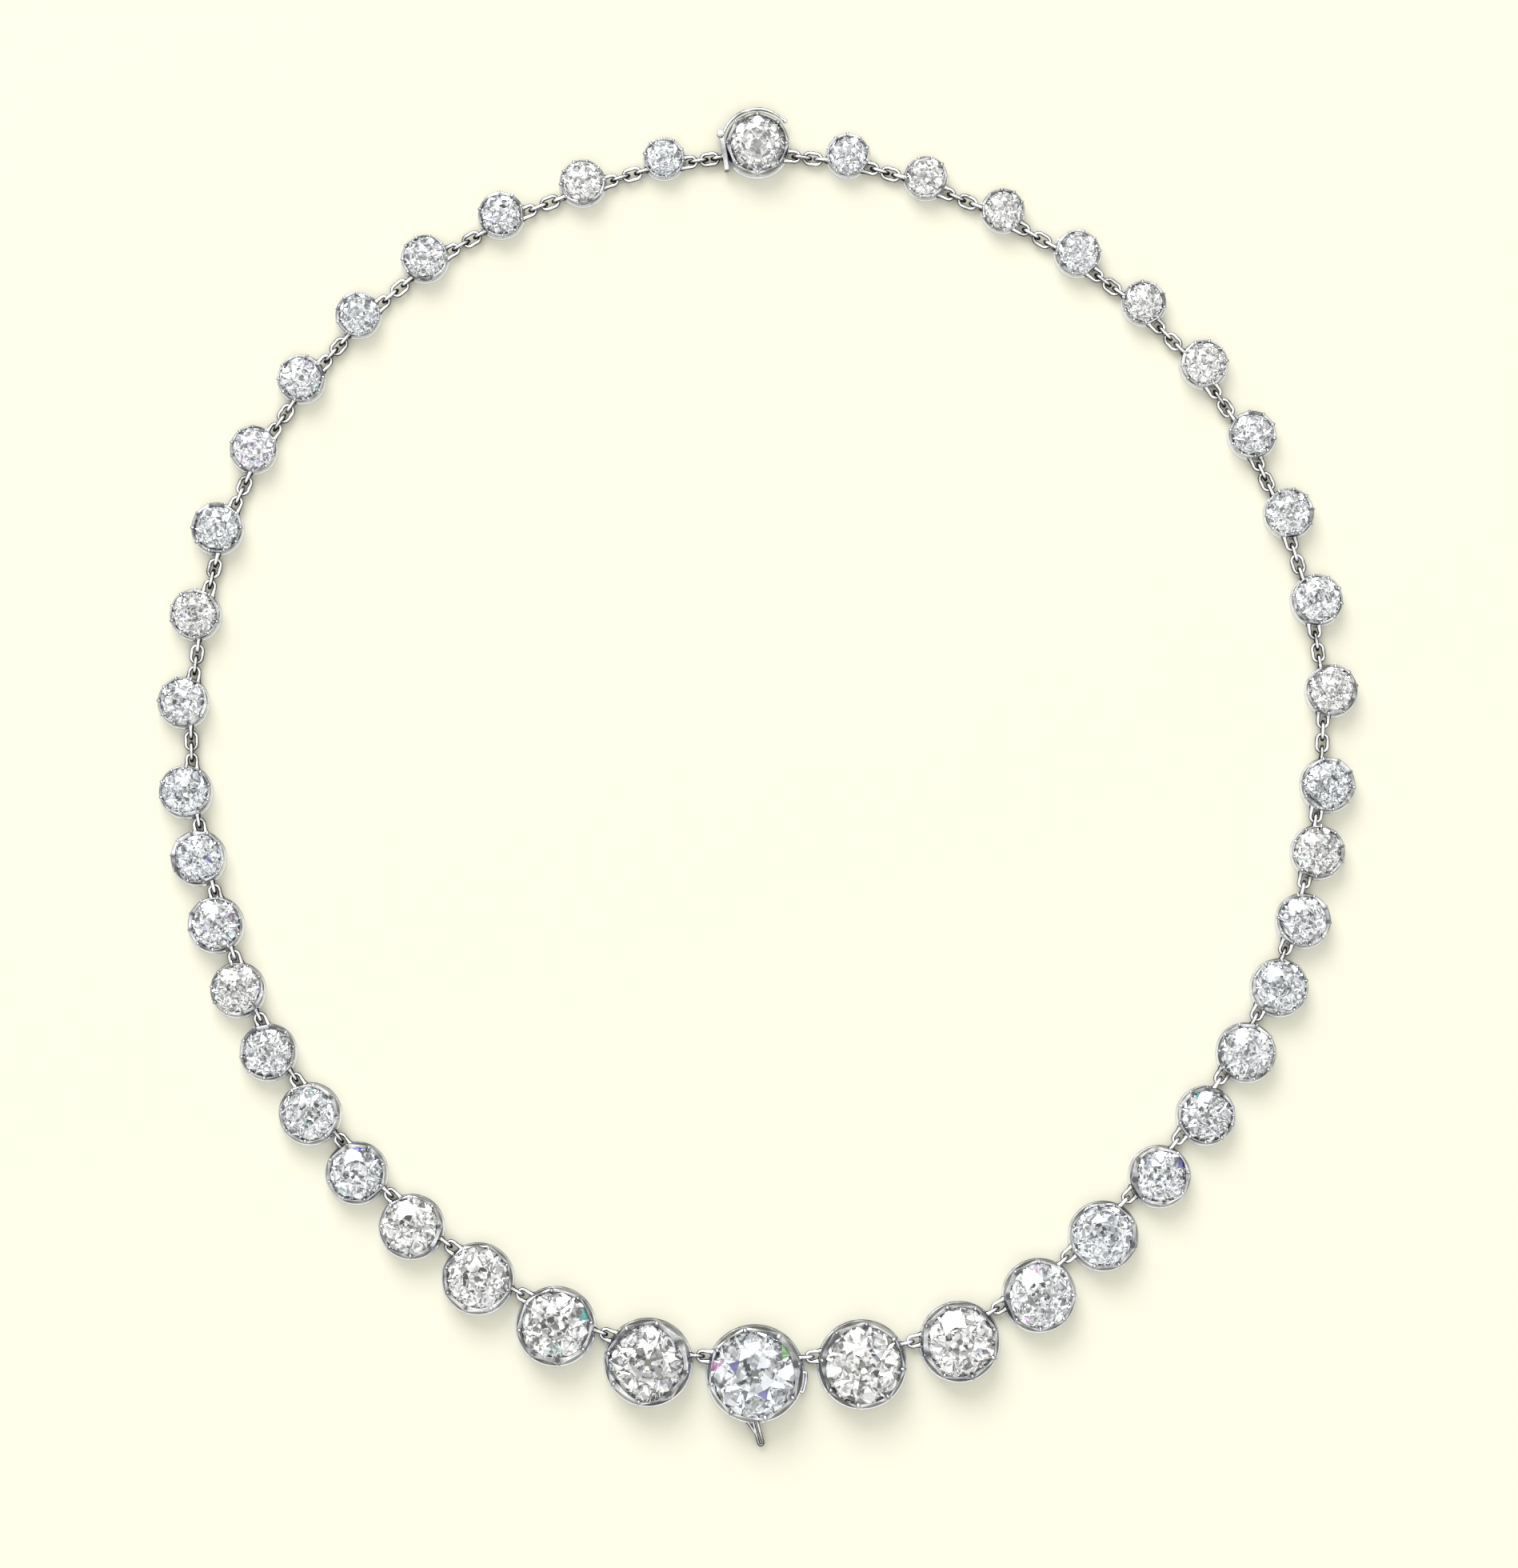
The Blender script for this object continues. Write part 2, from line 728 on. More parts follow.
@dataclass
class ColletSizes:
    """The sizes of a collet, which follow from the width of its stone.

    Attributes:
        mount: The stone's place and width.
        cut: The ordinary cut that the seat is made for.
        seat_gap: Room between the stone and its seat.
        edge_w: Width of the rim round the seat where it is cut down.
        wall_t: Thickness of the wall.
        flare_deg: How far the wall leans out toward the foot.
        rim_over: Height of the rim above the girdle.
        culet_lift: Height of the culet above the ground.
        ledge_share: How far the ledge reaches in, as a share of the stone's half width.
        ledge_t: Thickness of the ledge.
        band_h: Height of the polished band at the foot.
        band_out: How far the band stands out from the wall.
        bead_share: Width of a claw's bead, as a share of the stone's width.
        bead_min_d: The smallest width of a bead.
        bead_out: How far a bead's middle lies outside the stone's edge, as a share of the bead's width.
        claw_share: Width of a claw, as a share of its bead's.
        many_claws_below: Width of stone below which a collet has the larger number of claws.
        claws_large: Number of claws on a large collet.
        claws_small: Number of claws on a small one.
        claw_turn: How far the claws are turned from one collet to the next, in degrees.
        stone_turn: How far the stones are turned from one collet to the next, in degrees.
        cut_deg: How steeply the rim is cut down between the claws.
        lip_spread: How much further in the lip is pushed on the collet's thick side, as a share.
        lip_wave: How much the lip's edge waves, as a share of its radius.
        lip_lift: Height of the lip's underside above the girdle.
        lip_t: Thickness of the lip.
        crown_slope: How steeply the lip rises where it is pushed in over the stone.
    """

    mount: Mount
    cut: Cut = Cut()
    seat_gap: float = 0.05
    edge_w: float = 0.05
    wall_t: float = 0.45
    flare_deg: float = 2.5
    rim_over: float = 0.12
    culet_lift: float = 0.15
    ledge_share: float = 0.2
    ledge_t: float = 0.25
    band_h: float = 0.22
    band_out: float = 0.05
    bead_share: float = 0.048
    bead_min_d: float = 0.3
    bead_out: float = 0.25
    claw_share: float = 0.8
    many_claws_below: float = 5.8
    claws_large: int = 8
    claws_small: int = 10
    claw_turn: float = 19.0
    stone_turn: float = 37.0
    cut_deg: float = 12.0
    lip_spread: float = 0.09
    lip_wave: float = 0.01
    lip_lift: float = 0.06
    lip_t: float = 0.1
    crown_slope: float = 0.6

    @property
    def girdle_z(self) -> float:
        """Height of the girdle's lower edge."""
        return self.culet_lift + self.cut.pavilion * self.mount.width

    @property
    def crown_z(self) -> float:
        """Height of the girdle's upper edge."""
        return self.girdle_z + self.cut.girdle * self.mount.width

    @property
    def rim_z(self) -> float:
        """Height of the rim."""
        return self.crown_z + self.rim_over

    @property
    def bore_r(self) -> float:
        """Radius of the seat."""
        return self.mount.radius + self.seat_gap * math.sqrt(2.0)

    @property
    def edge_r(self) -> float:
        """Radius to which the rim is cut down between the claws."""
        return self.bore_r + self.edge_w

    @property
    def bead_d(self) -> float:
        """Width of a claw's bead."""
        return max(self.bead_min_d, self.bead_share * self.mount.width)

    @property
    def claws(self) -> int:
        """Number of claws."""
        return self.claws_small if self.mount.width < self.many_claws_below else self.claws_large

    @property
    def rim_r(self) -> float:
        """Radius of the rim at the claws."""
        half = math.degrees(math.asin(self.claw_share * self.bead_d / 2.0 / self.edge_r))
        return self.edge_r / cosine(180.0 / self.claws - half)

    @property
    def ledge_slope(self) -> float:
        """The slope that the lower halves of the ordinary cut have.

        Returns:
            The ledge's fall for each step inward.
        """
        cut = self.cut
        half = cosine(180.0 / Diamond.SIDES)
        fall = (1.0 - cut.lower_at * half) / (1.0 - cut.culet * half) / (1.0 - cut.lower_at)
        return 2.0 * cut.pavilion * fall

    def lip_z(self, radius: float) -> float:
        """Returns the height of the lip's inner edge, where it is pushed in to a radius."""
        return self.crown_z + self.lip_lift + (self.bore_r - radius) * self.crown_slope

    @property
    def foot_r(self) -> float:
        """Radius of the wall at the foot."""
        return self.rim_r + self.rim_z * tangent(self.flare_deg)

    @property
    def base_r(self) -> float:
        """Radius of the polished band at the foot."""
        return self.foot_r + self.band_out

    def opening(self, radius: float, degrees: float) -> float:
        """Returns a radius of the seat at an angle, where the seat follows a cushion-shaped stone."""
        return radius * self.mount.flattened(degrees - self.stone_turn * self.mount.index)

    @property
    def claw_deg(self) -> float:
        """Angle of the first claw."""
        return self.claw_turn * self.mount.index

    def wall_r(self, z: float) -> float:
        """Returns the wall's outer radius at a height."""
        return self.foot_r - z * tangent(self.flare_deg)


@dataclass
class ChainSizes:
    """The sizes of the rings, loops and loose links.

    Attributes:
        chain_z: Height of the chain's middle line.
        eyelet_wire: Thickness of the wire of a collet's ring and loop.
        eyelet_w: Width of a ring or loop.
        eyelet_reach: How far the bow's centre lies outside the collet's foot.
        eyelet_sink: How deep the legs go into the wall.
        inset_share: How far the chain runs inside the line of centres, as a share of the collets' radius.
        link_wire: Thickness of a link's wire.
        link_l: Length of a link.
        link_w: Width of a link.
        fillet: How much thicker the solder makes a leg at the wall.
        fillet_l: How far the solder reaches along a leg.
    """

    chain_z: float = 1.0
    eyelet_wire: float = 0.42
    eyelet_w: float = 1.5
    eyelet_reach: float = 0.62
    eyelet_sink: float = 0.25
    inset_share: float = 0.26
    link_wire: float = 0.42
    link_l: float = 2.3
    link_w: float = 1.6
    fillet: float = 0.5
    fillet_l: float = 0.45

    @property
    def eyelet_r(self) -> float:
        """Radius of a ring's middle line."""
        return (self.eyelet_w - self.eyelet_wire) / 2.0


class Necklace:
    """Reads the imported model, and knows where everything is along the chain."""

    CLASP = 0
    FRONT = 22
    FOOT_Z = 0.02
    CUSHION_FROM = 0.005

    def __init__(self, nodes: dict[str, bpy.types.Object]) -> None:
        """Finds the collets and stones.

        Args:
            nodes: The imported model's objects by name.
        """
        self.nodes = nodes
        self.chain = ChainSizes()
        self.names = {int(n[-2:]): n for n in sorted(nodes) if n.startswith("collet_")}
        self.names[self.CLASP] = "clasp_collet"
        self.names[self.FRONT] = "front_collet"
        self.count = len(self.names)
        low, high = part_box("clasp_diamond")
        centres = {i: self.foot_centre(name) for i, name in self.names.items()}
        centres[self.CLASP] = Vector(((low.x + high.x) / 2, (low.y + high.y) / 2, 0.0)) / MM
        self.mounts = self.find_stones([centres[i] for i in range(self.count)])
        self.sizes = [ColletSizes(m) for m in self.mounts]

    def points(self, name: str) -> np.ndarray:
        """Reads a node's corners.

        Args:
            name: The node.

        Returns:
            The corners, in millimetres.
        """
        mesh = self.nodes[name].data
        flat = np.empty(len(mesh.vertices) * 3, np.float32)
        mesh.vertices.foreach_get("co", flat)
        return flat.reshape(-1, 3).astype(float) / MM

    def foot_centre(self, name: str) -> Vector:
        """Finds where a collet stands.

        Args:
            name: The collet's node.

        Returns:
            The middle of the circle that its foot makes.
        """
        points = self.points(name)
        foot = points[points[:, 2] < self.FOOT_Z]
        x, y = (foot.min(0) + foot.max(0))[:2] / 2
        return Vector((x, y, 0.0))

    def find_stones(self, centres: Sequence[Vector]) -> list[Mount]:
        """Measures the stones around the collets' centres.

        Args:
            centres: The collets' centres in order.

        Returns:
            One mount for each of them.
        """
        stones = ("clasp_diamond", "front_diamond", "diamonds_right", "diamonds_left")
        points = np.vstack([self.points(name) for name in stones])
        flat = np.array([(c.x, c.y) for c in centres])
        apart = np.hypot(points[:, None, 0] - flat[None, :, 0], points[:, None, 1] - flat[None, :, 1])
        nearest = apart.argmin(1)
        mounts = []
        for i, centre in enumerate(centres):
            own = nearest == i
            reach = apart[own, i]
            height = points[own, 2]
            girdle = reach[np.abs(height - height[reach.argmax()]) < self.FOOT_Z]
            cushion = 1.0 - float(girdle.min() / girdle.max())
            cushion = cushion if cushion > self.CUSHION_FROM else 0.0
            mounts.append(Mount(i, centre, float(reach.max()), cushion))
        return mounts

    def stone_node(self, i: int) -> str:
        """Returns the name of the node that holds a collet's stone."""
        single = {self.CLASP: "clasp_diamond", self.FRONT: "front_diamond"}
        return single.get(i, "diamonds_right" if i < self.FRONT else "diamonds_left")

    def after(self, i: int) -> int:
        """Returns the number of the next collet, clockwise."""
        return (i + 1) % self.count

    def heading(self, i: int) -> float:
        """Returns the angle of the chain from a collet to the next."""
        step = self.mounts[self.after(i)].centre - self.mounts[i].centre
        return math.degrees(math.atan2(step.y, step.x))

    def inset(self, i: int) -> float:
        """Returns how far the chain after a collet runs inside the line of centres."""
        return self.chain.inset_share * (self.sizes[i].base_r + self.sizes[self.after(i)].base_r) / 2.0

    def ring_at(self, i: int) -> float:
        """Returns how far along the chain the bow of a collet's ring is."""
        return math.sqrt(self.sizes[i].base_r ** 2 - self.inset(i) ** 2) + self.chain.eyelet_reach

    def loop_at(self, i: int) -> float:
        """Returns how far back along the chain the bow of a collet's loop is."""
        inset = self.inset(i - 1 if i else self.count - 1)
        return math.sqrt(self.sizes[i].base_r ** 2 - inset ** 2) + self.chain.eyelet_reach


@dataclass(frozen=True)
class Flash:
    """A facet of the crown that shows a pure colour.

    Attributes:
        x: Its place to the right of the stone's middle, as a share of the half width.
        y: Its place above the middle.
        finish: What colours it.
    """

    x: float
    y: float
    finish: Finish


FLASHES: dict[int, tuple[Flash, ...]] = {
    16: (Flash(-0.2, 0.85, Finish.TEAL),),
    17: (Flash(0.9, 0.15, Finish.VIOLET),),
    22: (Flash(-0.78, 0.5, Finish.PINK), Flash(-0.56, 0.12, Finish.VIOLET), Flash(0.11, -0.53, Finish.VIOLET),
         Flash(0.66, 0.68, Finish.TEAL), Flash(0.84, 0.5, Finish.GREEN)),
    24: (Flash(0.8, 0.35, Finish.TEAL),),
    27: (Flash(0.12, 0.9, Finish.VIOLET),),
    30: (Flash(0.88, 0.05, Finish.BLUE),),
    32: (Flash(0.5, -0.2, Finish.VIOLET),),
}
TINTS = (Finish.WHITE, Finish.WHITE, Finish.WARM, Finish.COOL)


@dataclass
class Diamond:
    """An old-cut stone, cut facet by facet from a round or cushion-shaped blank.

    Attributes:
        sizes: The sizes of its collet.
        cut: Its proportions.
        finish: Its finish.
        closer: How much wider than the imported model's it is, toward its seat.
        main_loose: How much of the cut's wobble the pavilion's main facets take.
        inner_z: Height of a point that all facets face away from, as a share of the half width.
        flash_over: Height above the girdle from which a facet may flash, as a share of the half width.
        flash_area: The largest area of such a facet, as a share of the half width's square.
        plain_to_w: Width of stone up to which the small planes tilt fully.
        crisp_from_w: Width from which they tilt least.
        crisp: How much of the tilt is left there.
    """

    SIDES = 8
    BLANK_SIDES = 64
    SEED = 1870

    sizes: ColletSizes
    cut: Cut
    finish: Finish
    closer: float = 0.04
    main_loose: float = 0.6
    inner_z: float = 0.1
    flash_over: float = 0.02
    flash_area: float = 0.12
    plain_to_w: float = 5.0
    crisp_from_w: float = 9.0
    crisp: float = 0.35

    def __post_init__(self) -> None:
        """Takes the stone's own chances."""
        self.mount = self.sizes.mount
        self.chance = random.Random(self.SEED + self.mount.index)

    def at(self, share: float, degrees: float, z: float) -> Vector:
        """Returns a point at a share of the stone's half width."""
        return polar(share * ((self.mount.radius + self.closer) * self.mount.flattened(degrees)), degrees, z)

    def facet(self, shape: Shape, points: Sequence[Vector], loose: float = 1.0) -> None:
        """Cuts a facet through three points, a little off as a hand sets it.

        Args:
            shape: The stone.
            points: The three points.
            loose: How much of the cut's wobble the facet takes.
        """
        middle = sum(points, Vector()) / len(points)
        normal = (points[1] - points[0]).cross(points[2] - points[0]).normalized()
        if normal.dot(middle - UP * (self.inner_z * self.mount.radius)) < 0:
            normal.negate()
        off = Vector([self.chance.gauss(0.0, 1.0) for _ in range(3)])
        normal += off * math.radians(self.cut.wobble_deg) * loose / math.sqrt(2.0)
        shape.cut(middle, normal.normalized(), self.finish)

    def blank(self, low: float, high: float) -> Shape:
        """Makes the upright block that the stone is cut from.

        Args:
            low: Height of its lower end.
            high: Height of its upper end.

        Returns:
            The block, ground all round.
        """
        shape = Shape(self.finish, Finish.GIRDLE)
        turns = [360.0 * k / self.BLANK_SIDES for k in range(self.BLANK_SIDES)]
        bottom, top = ([shape.bm.verts.new(self.at(1.0, a, z)) for a in turns] for z in (low, high))
        for k in range(self.BLANK_SIDES):
            n = (k + 1) % self.BLANK_SIDES
            shape.bm.faces.new((bottom[k], bottom[n], top[n], top[k])).material_index = 1
        for ring in (bottom[::-1], top):
            shape.bm.faces.new(ring).material_index = 0
        return shape

    def build(self) -> bpy.types.Object:
        """Cuts the stone.

        Returns:
            The stone's object.
        """
        cut = self.cut
        half = 180.0 / self.SIDES
        crown_h, girdle_h, pavilion_h = (s * self.mount.width for s in (cut.crown, cut.girdle, cut.pavilion))
        top_z = girdle_h + crown_h
        star_z = girdle_h + (1.0 - cut.star_at * cosine(half)) * (crown_h / (1.0 - cut.table))
        lower_z = -(1.0 - cut.lower_at * cosine(half)) * (pavilion_h / (1.0 - cut.culet * cosine(half)))
        shape = self.blank(-pavilion_h, top_z)
        for k in range(self.SIDES):
            here = 2.0 * half * k
            mid, following, behind = here + half, here + 2.0 * half, here - half
            table = self.at(cut.table, here, top_z)
            star = self.at(cut.star_at, mid, star_z)
            lower = self.at(cut.lower_at, mid, lower_z)
            culet = self.at(cut.culet, mid, -pavilion_h)
            edge, edge_mid, edge_next = (self.at(1.0, a, girdle_h) for a in (here, mid, following))
            under, under_mid, under_next = (self.at(1.0, a, 0.0) for a in (here, mid, following))
            self.facet(shape, (table, edge, star - self.at(cut.star_at, behind, star_z) + table))
            self.facet(shape, (table, self.at(cut.table, following, top_z), star))
            self.facet(shape, (star, edge, edge_mid))
            self.facet(shape, (star, edge_mid, edge_next))
            self.facet(shape, (lower, under, under_mid))
            self.facet(shape, (lower, under_mid, under_next))
            self.facet(shape, (under, culet, self.at(cut.culet, behind, -pavilion_h)), self.main_loose)
        shape.move(Matrix.Translation(self.mount.centre + UP * self.sizes.girdle_z)
                   @ Matrix.Rotation(math.radians(self.sizes.stone_turn * self.mount.index), 4, "Z"))
        large = (self.mount.width - self.plain_to_w) / (self.crisp_from_w - self.plain_to_w)
        for vert in shape.bm.verts:
            vert[shape.varied] = 1.0 - (1.0 - self.crisp) * max(0.0, min(1.0, large))
        for flash in FLASHES.get(self.mount.index, ()):
            self.flash(shape, flash)
        return shape.object(f"diamond_{self.mount.index:02d}", smooth_deg=0.0)

    def flash(self, shape: Shape, flash: Flash) -> None:
        """Colours the small facet of the crown that is nearest to a flash.

        Args:
            shape: The stone.
            flash: The flash.
        """
        radius = self.mount.radius
        place = self.mount.centre + Vector((flash.x, flash.y, 0.0)) * radius
        from_z = self.sizes.crown_z + self.flash_over * radius
        small = self.flash_area * radius ** 2
        crown = [f for f in shape.bm.faces if f.calc_center_median().z > from_z and f.calc_area() < small]
        near = min(crown, key=lambda face: (face.calc_center_median() - place).xy.length)
        near.material_index = shape.slot(flash.finish)


@dataclass
class Collet:
    """A cut-down collet with its claws, ring and loop.

    Attributes:
        necklace: The necklace.
        index: Its number.
        band_round: Rounding of the foot band's top, as a share of how far the foot stands out from the rim.
        shy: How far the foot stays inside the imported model's.
        seam: Width of the dark seam between the lip and the stone.
        grime: Tarnish added to the rim beside a claw.
        grime_share: How far that reaches, as a share of the step from claw to claw.
        shaded: Tarnish added to the wall on the clasp's side, where it is farthest from the middle.
        worn: The finishes that the rim's cut facets may have.
        cut_turn_off: How far a cut facet may be off round the collet, in degrees.
        cut_tilt_off: How far it may be off in steepness, in degrees.
        cut_in_off: How far it may be off inward or outward.
        rib: The claw's points: steps out from the wall or rim and up from the rim, and the half width there
            as a share of the bead's width.
        rib_end: The claw's half width at the bead, as a share of the bead's width.
        bead_half: Half widths of a bead along, across and up, as shares of its width.
        bead_size: The smallest and largest bead, as shares of the size's own.
        bead_length: The shortest and longest bead, as shares of the width along.
        solder_grime: Tarnish added where a wire is soldered to the wall.
    """

    ROUND = 96
    SEED = 44
    BOW_STEPS = 16
    LEG_STEPS = 6
    CLAW_SIDES = 8

    necklace: Necklace
    index: int
    band_round: float = 0.8
    shy: float = 0.008
    seam: float = 0.045
    grime: float = 0.8
    grime_share: float = 0.17
    shaded: float = 1.1
    worn: tuple[Finish, ...] = (Finish.CUT, Finish.CUT, Finish.CUT_PALE, Finish.CUT_DARK)
    cut_turn_off: float = 1.5
    cut_tilt_off: float = 2.0
    cut_in_off: float = 0.02
    rib: tuple[Triple, ...] = ((-0.1, -1.1, 0.3), (-0.04, -0.4, 0.36),
                               (-0.06, -0.06, 0.42), (0.1, 0.05, 0.46))
    rib_end: float = 0.4
    bead_half: Triple = (0.56, 0.54, 0.48)
    bead_size: Pair = (0.8, 1.15)
    bead_length: Pair = (0.95, 1.3)
    solder_grime: float = 0.35

    def __post_init__(self) -> None:
        """Takes the collet's own chances, and the side to which its lip is thick."""
        self.sizes = self.necklace.sizes[self.index]
        self.chance = random.Random(self.SEED + self.index)
        self.thick_deg = self.chance.uniform(0.0, 360.0)

    def off(self, most: float) -> float:
        """Returns a small fault to either side."""
        return self.chance.uniform(-most, most)

    def lip(self, turn: float) -> float:
        """Finds how far the lip is pushed in: more at the claws and on the collet's thick side.

        Args:
            turn: The angle round the collet.

        Returns:
            The lip's radius there.
        """
        s = self.sizes
        thick = (0.5 + 0.5 * cosine(turn - self.thick_deg)) ** 3
        claw = 0.5 + 0.5 * cosine(s.claws * (turn - s.claw_deg))
        uneven = 0.5 * cosine(3.0 * turn + self.thick_deg) + 0.5 * cosine(5.0 * turn - 2.0 * self.thick_deg)
        return s.opening(s.mount.radius * (1.0 - s.lip_spread * thick - s.lip_wave * (claw + uneven)), turn)

    def cup(self) -> Shape:
        """Makes the open cup, with facets cut down between its claws.

        Returns:
            The cup.
        """
        s = self.sizes
        ledge_r = s.mount.radius * (1.0 - s.ledge_share)
        ledge_z = s.girdle_z - (s.bore_r - ledge_r) * s.ledge_slope
        under_z = ledge_z - s.ledge_t
        foot_r = s.base_r - self.shy
        reach = self.band_round * (s.base_r - s.rim_r)
        band = [(foot_r - reach * (1.0 - cosine(a)), s.band_h - reach * (1.0 - sine(a)))
                for a in (0.0, 30.0, 60.0, 85.0)]
        inside = [(s.wall_r(under_z) - s.wall_t, under_z), (s.base_r - s.wall_t, 0.0)]

        def profile(turn: float) -> list[Pair]:
            """Finds the cup's outline at an angle.

            Args:
                turn: The angle in degrees.

            Returns:
                Radius and height of each point.
            """
            lip = self.lip(turn)
            low_z = s.lip_z(lip)
            top_z = low_z + s.lip_t
            rim = [(s.rim_r, s.rim_z), (s.edge_r, top_z), (lip + self.seam, top_z), (lip, top_z - self.seam)]
            seat = [(s.opening(s.bore_r, turn), z) for z in (s.crown_z, s.girdle_z)]
            ledge = [(s.opening(ledge_r, turn), z) for z in (ledge_z, under_z)]
            return [(foot_r, 0.0), *band, *rim, (lip, low_z), *seat, *ledge, *inside]

        finishes = ([Finish.FOOT] * 4 + [Finish.WALL, Finish.RIM, Finish.LIP, Finish.SEAM, Finish.SEAM]
                    + [Finish.INSIDE] * 6 + [Finish.FOOT])
        shape = Shape(Finish.WALL, Finish.LIP, Finish.RIM, Finish.INSIDE, Finish.FOOT, Finish.SEAM)
        shape.revolve(profile, finishes, self.ROUND)
        self.age(shape)
        self.cut_down(shape)
        return shape

    def age(self, shape: Shape) -> None:
        """Darkens the rim beside the claws, and the wall on the clasp's side.

        Args:
            shape: The cup.
        """
        s = self.sizes
        step = 360.0 / s.claws
        for vert in shape.bm.verts:
            turn = math.degrees(math.atan2(vert.co.y, vert.co.x)) - s.claw_deg
            beside = abs((turn / step + 0.5) % 1.0 - 0.5) * step
            if vert.co.z > s.rim_z - s.lip_t:
                vert[shape.varied] = self.grime * max(0.0, 1.0 - beside / (self.grime_share * step))
            elif vert.co.y > 0.0:
                vert[shape.varied] = self.shaded * vert.co.y / s.base_r

    def cut_down(self, shape: Shape) -> None:
        """Cuts the rim down between the claws, and gives each facet and the lip beside it one finish.

        Args:
            shape: The cup.
        """
        s = self.sizes
        step = 360.0 / s.claws
        worn = [self.chance.choice(self.worn) for _ in range(s.claws)]
        for face in shape.bm.faces:
            if face.material_index == shape.slot(Finish.LIP):
                middle = face.calc_center_median()
                turn = math.degrees(math.atan2(middle.y, middle.x)) - s.claw_deg
                face.material_index = shape.slot(worn[int((turn % 360.0) / step) % s.claws])
        for k, finish in enumerate(worn):
            turn = s.claw_deg + (k + 0.5) * step + self.off(self.cut_turn_off)
            tilt = s.cut_deg + self.off(self.cut_tilt_off)
            cut_r = s.edge_r + self.off(self.cut_in_off)
            shape.cut(polar(cut_r, turn, s.rim_z), polar(cosine(tilt), turn, sine(tilt)), finish)

    def claw(self, shape: Shape, degrees: float) -> None:
        """Adds one claw: a rib up the wall that is pushed over the stone's edge and ends in a bead.

        Args:
            shape: What carries the claw.
            degrees: The claw's angle.
        """
        s = self.sizes
        d = s.bead_d * self.chance.uniform(*self.bead_size)
        along, across, high = self.bead_half
        along *= self.chance.uniform(*self.bead_length)
        tip_r = s.mount.radius + s.bead_d * s.bead_out
        tip_z = s.crown_z + s.bead_d / 2.0 + s.seat_gap
        starts = (s.wall_r(s.rim_z + self.rib[0][1]), s.rim_r, s.rim_r, s.edge_r)
        line = [(r + out, s.rim_z + z, share) for r, (out, z, share) in zip(starts, self.rib)]
        line.append((tip_r, tip_z, self.rib_end))
        path = [polar(r, degrees, z) for r, z, _ in line]
        shape.wire(path, polar(1.0, degrees + 90.0), [share * d for _, _, share in line], Finish.CUT,
                   sides=self.CLAW_SIDES)
        shape.bead(polar(tip_r, degrees, tip_z), Vector((along, across, high)) * d, Finish.CLAW, degrees)

    def staple(self, shape: Shape, middle: Vector, out: Vector, side: Vector, legs: Pair) -> None:
        """Adds a bow of wire with two legs that flare where they are soldered to the wall.

        Args:
            shape: What carries the bow.
            middle: The centre of the bow.
            out: The direction in which it bows.
            side: The direction of its first leg from the middle.
            legs: The lengths of the two legs.
        """
        c = self.necklace.chain
        path = []
        reach = []
        for leg, way in zip(legs, (1.0, -1.0)):
            stops = [leg * (1.0 - t / self.LEG_STEPS) for t in range(self.LEG_STEPS)]
            path.append([middle + side * (way * c.eyelet_r) - out * x for x in stops])
            reach.append([min(1.0, (leg - x - c.eyelet_sink) / c.fillet_l) for x in stops])
        bow = [middle + (side * cosine(a) + out * sine(a)) * c.eyelet_r
               for a in (180.0 * k / self.BOW_STEPS for k in range(self.BOW_STEPS + 1))]
        line = path[0] + bow + path[1][::-1]
        near = reach[0] + [1.0] * len(bow) + reach[1][::-1]
        solder = [1.0 - max(0.0, n) for n in near]
        shape.wire(line, side.cross(out), [c.eyelet_wire / 2.0 * (1.0 + c.fillet * n ** 2) for n in solder],
                   Finish.WIRE, tarnish=[self.solder_grime * n for n in solder])

    def leg(self, at: float, beside: float) -> float:
        """Finds the length of a leg from a bow's centre to its end in the wall.

        Args:
            at: How far out the bow's centre is.
            beside: How far to the side of the collet's centre the leg runs.

        Returns:
            The leg's length.
        """
        c = self.necklace.chain
        return at - math.sqrt((self.sizes.wall_r(c.chain_z) - c.eyelet_sink) ** 2 - beside ** 2)

    def ring(self, shape: Shape) -> None:
        """Adds the ring that lies flat, on the side of the next collet.

        Args:
            shape: What carries the ring.
        """
        c = self.necklace.chain
        at = self.necklace.ring_at(self.index)
        inset = self.necklace.inset(self.index)
        out = polar(1.0, self.necklace.heading(self.index))
        side = UP.cross(out)
        middle = out * at - side * inset + UP * c.chain_z
        legs = (self.leg(at, inset - c.eyelet_r), self.leg(at, inset + c.eyelet_r))
        self.staple(shape, middle, out, side, legs)

    def loop(self, shape: Shape) -> None:
        """Adds the loop that stands on edge, on the side of the collet before.

        Args:
            shape: What carries the loop.
        """
        before = (self.index - 1) % self.necklace.count
        at = self.necklace.loop_at(self.index)
        inset = self.necklace.inset(before)
        out = polar(-1.0, self.necklace.heading(before))
        middle = out * at + UP.cross(out) * inset + UP * self.necklace.chain.chain_z
        leg = self.leg(at, inset)
        self.staple(shape, middle, out, UP, (leg, leg))

    def fittings(self, shape: Shape) -> None:
        """Adds the claws, the ring and the loop.

        Args:
            shape: What carries them.
        """
        for k in range(self.sizes.claws):
            self.claw(shape, self.sizes.claw_deg + k * 360.0 / self.sizes.claws)
        self.ring(shape)
        self.loop(shape)

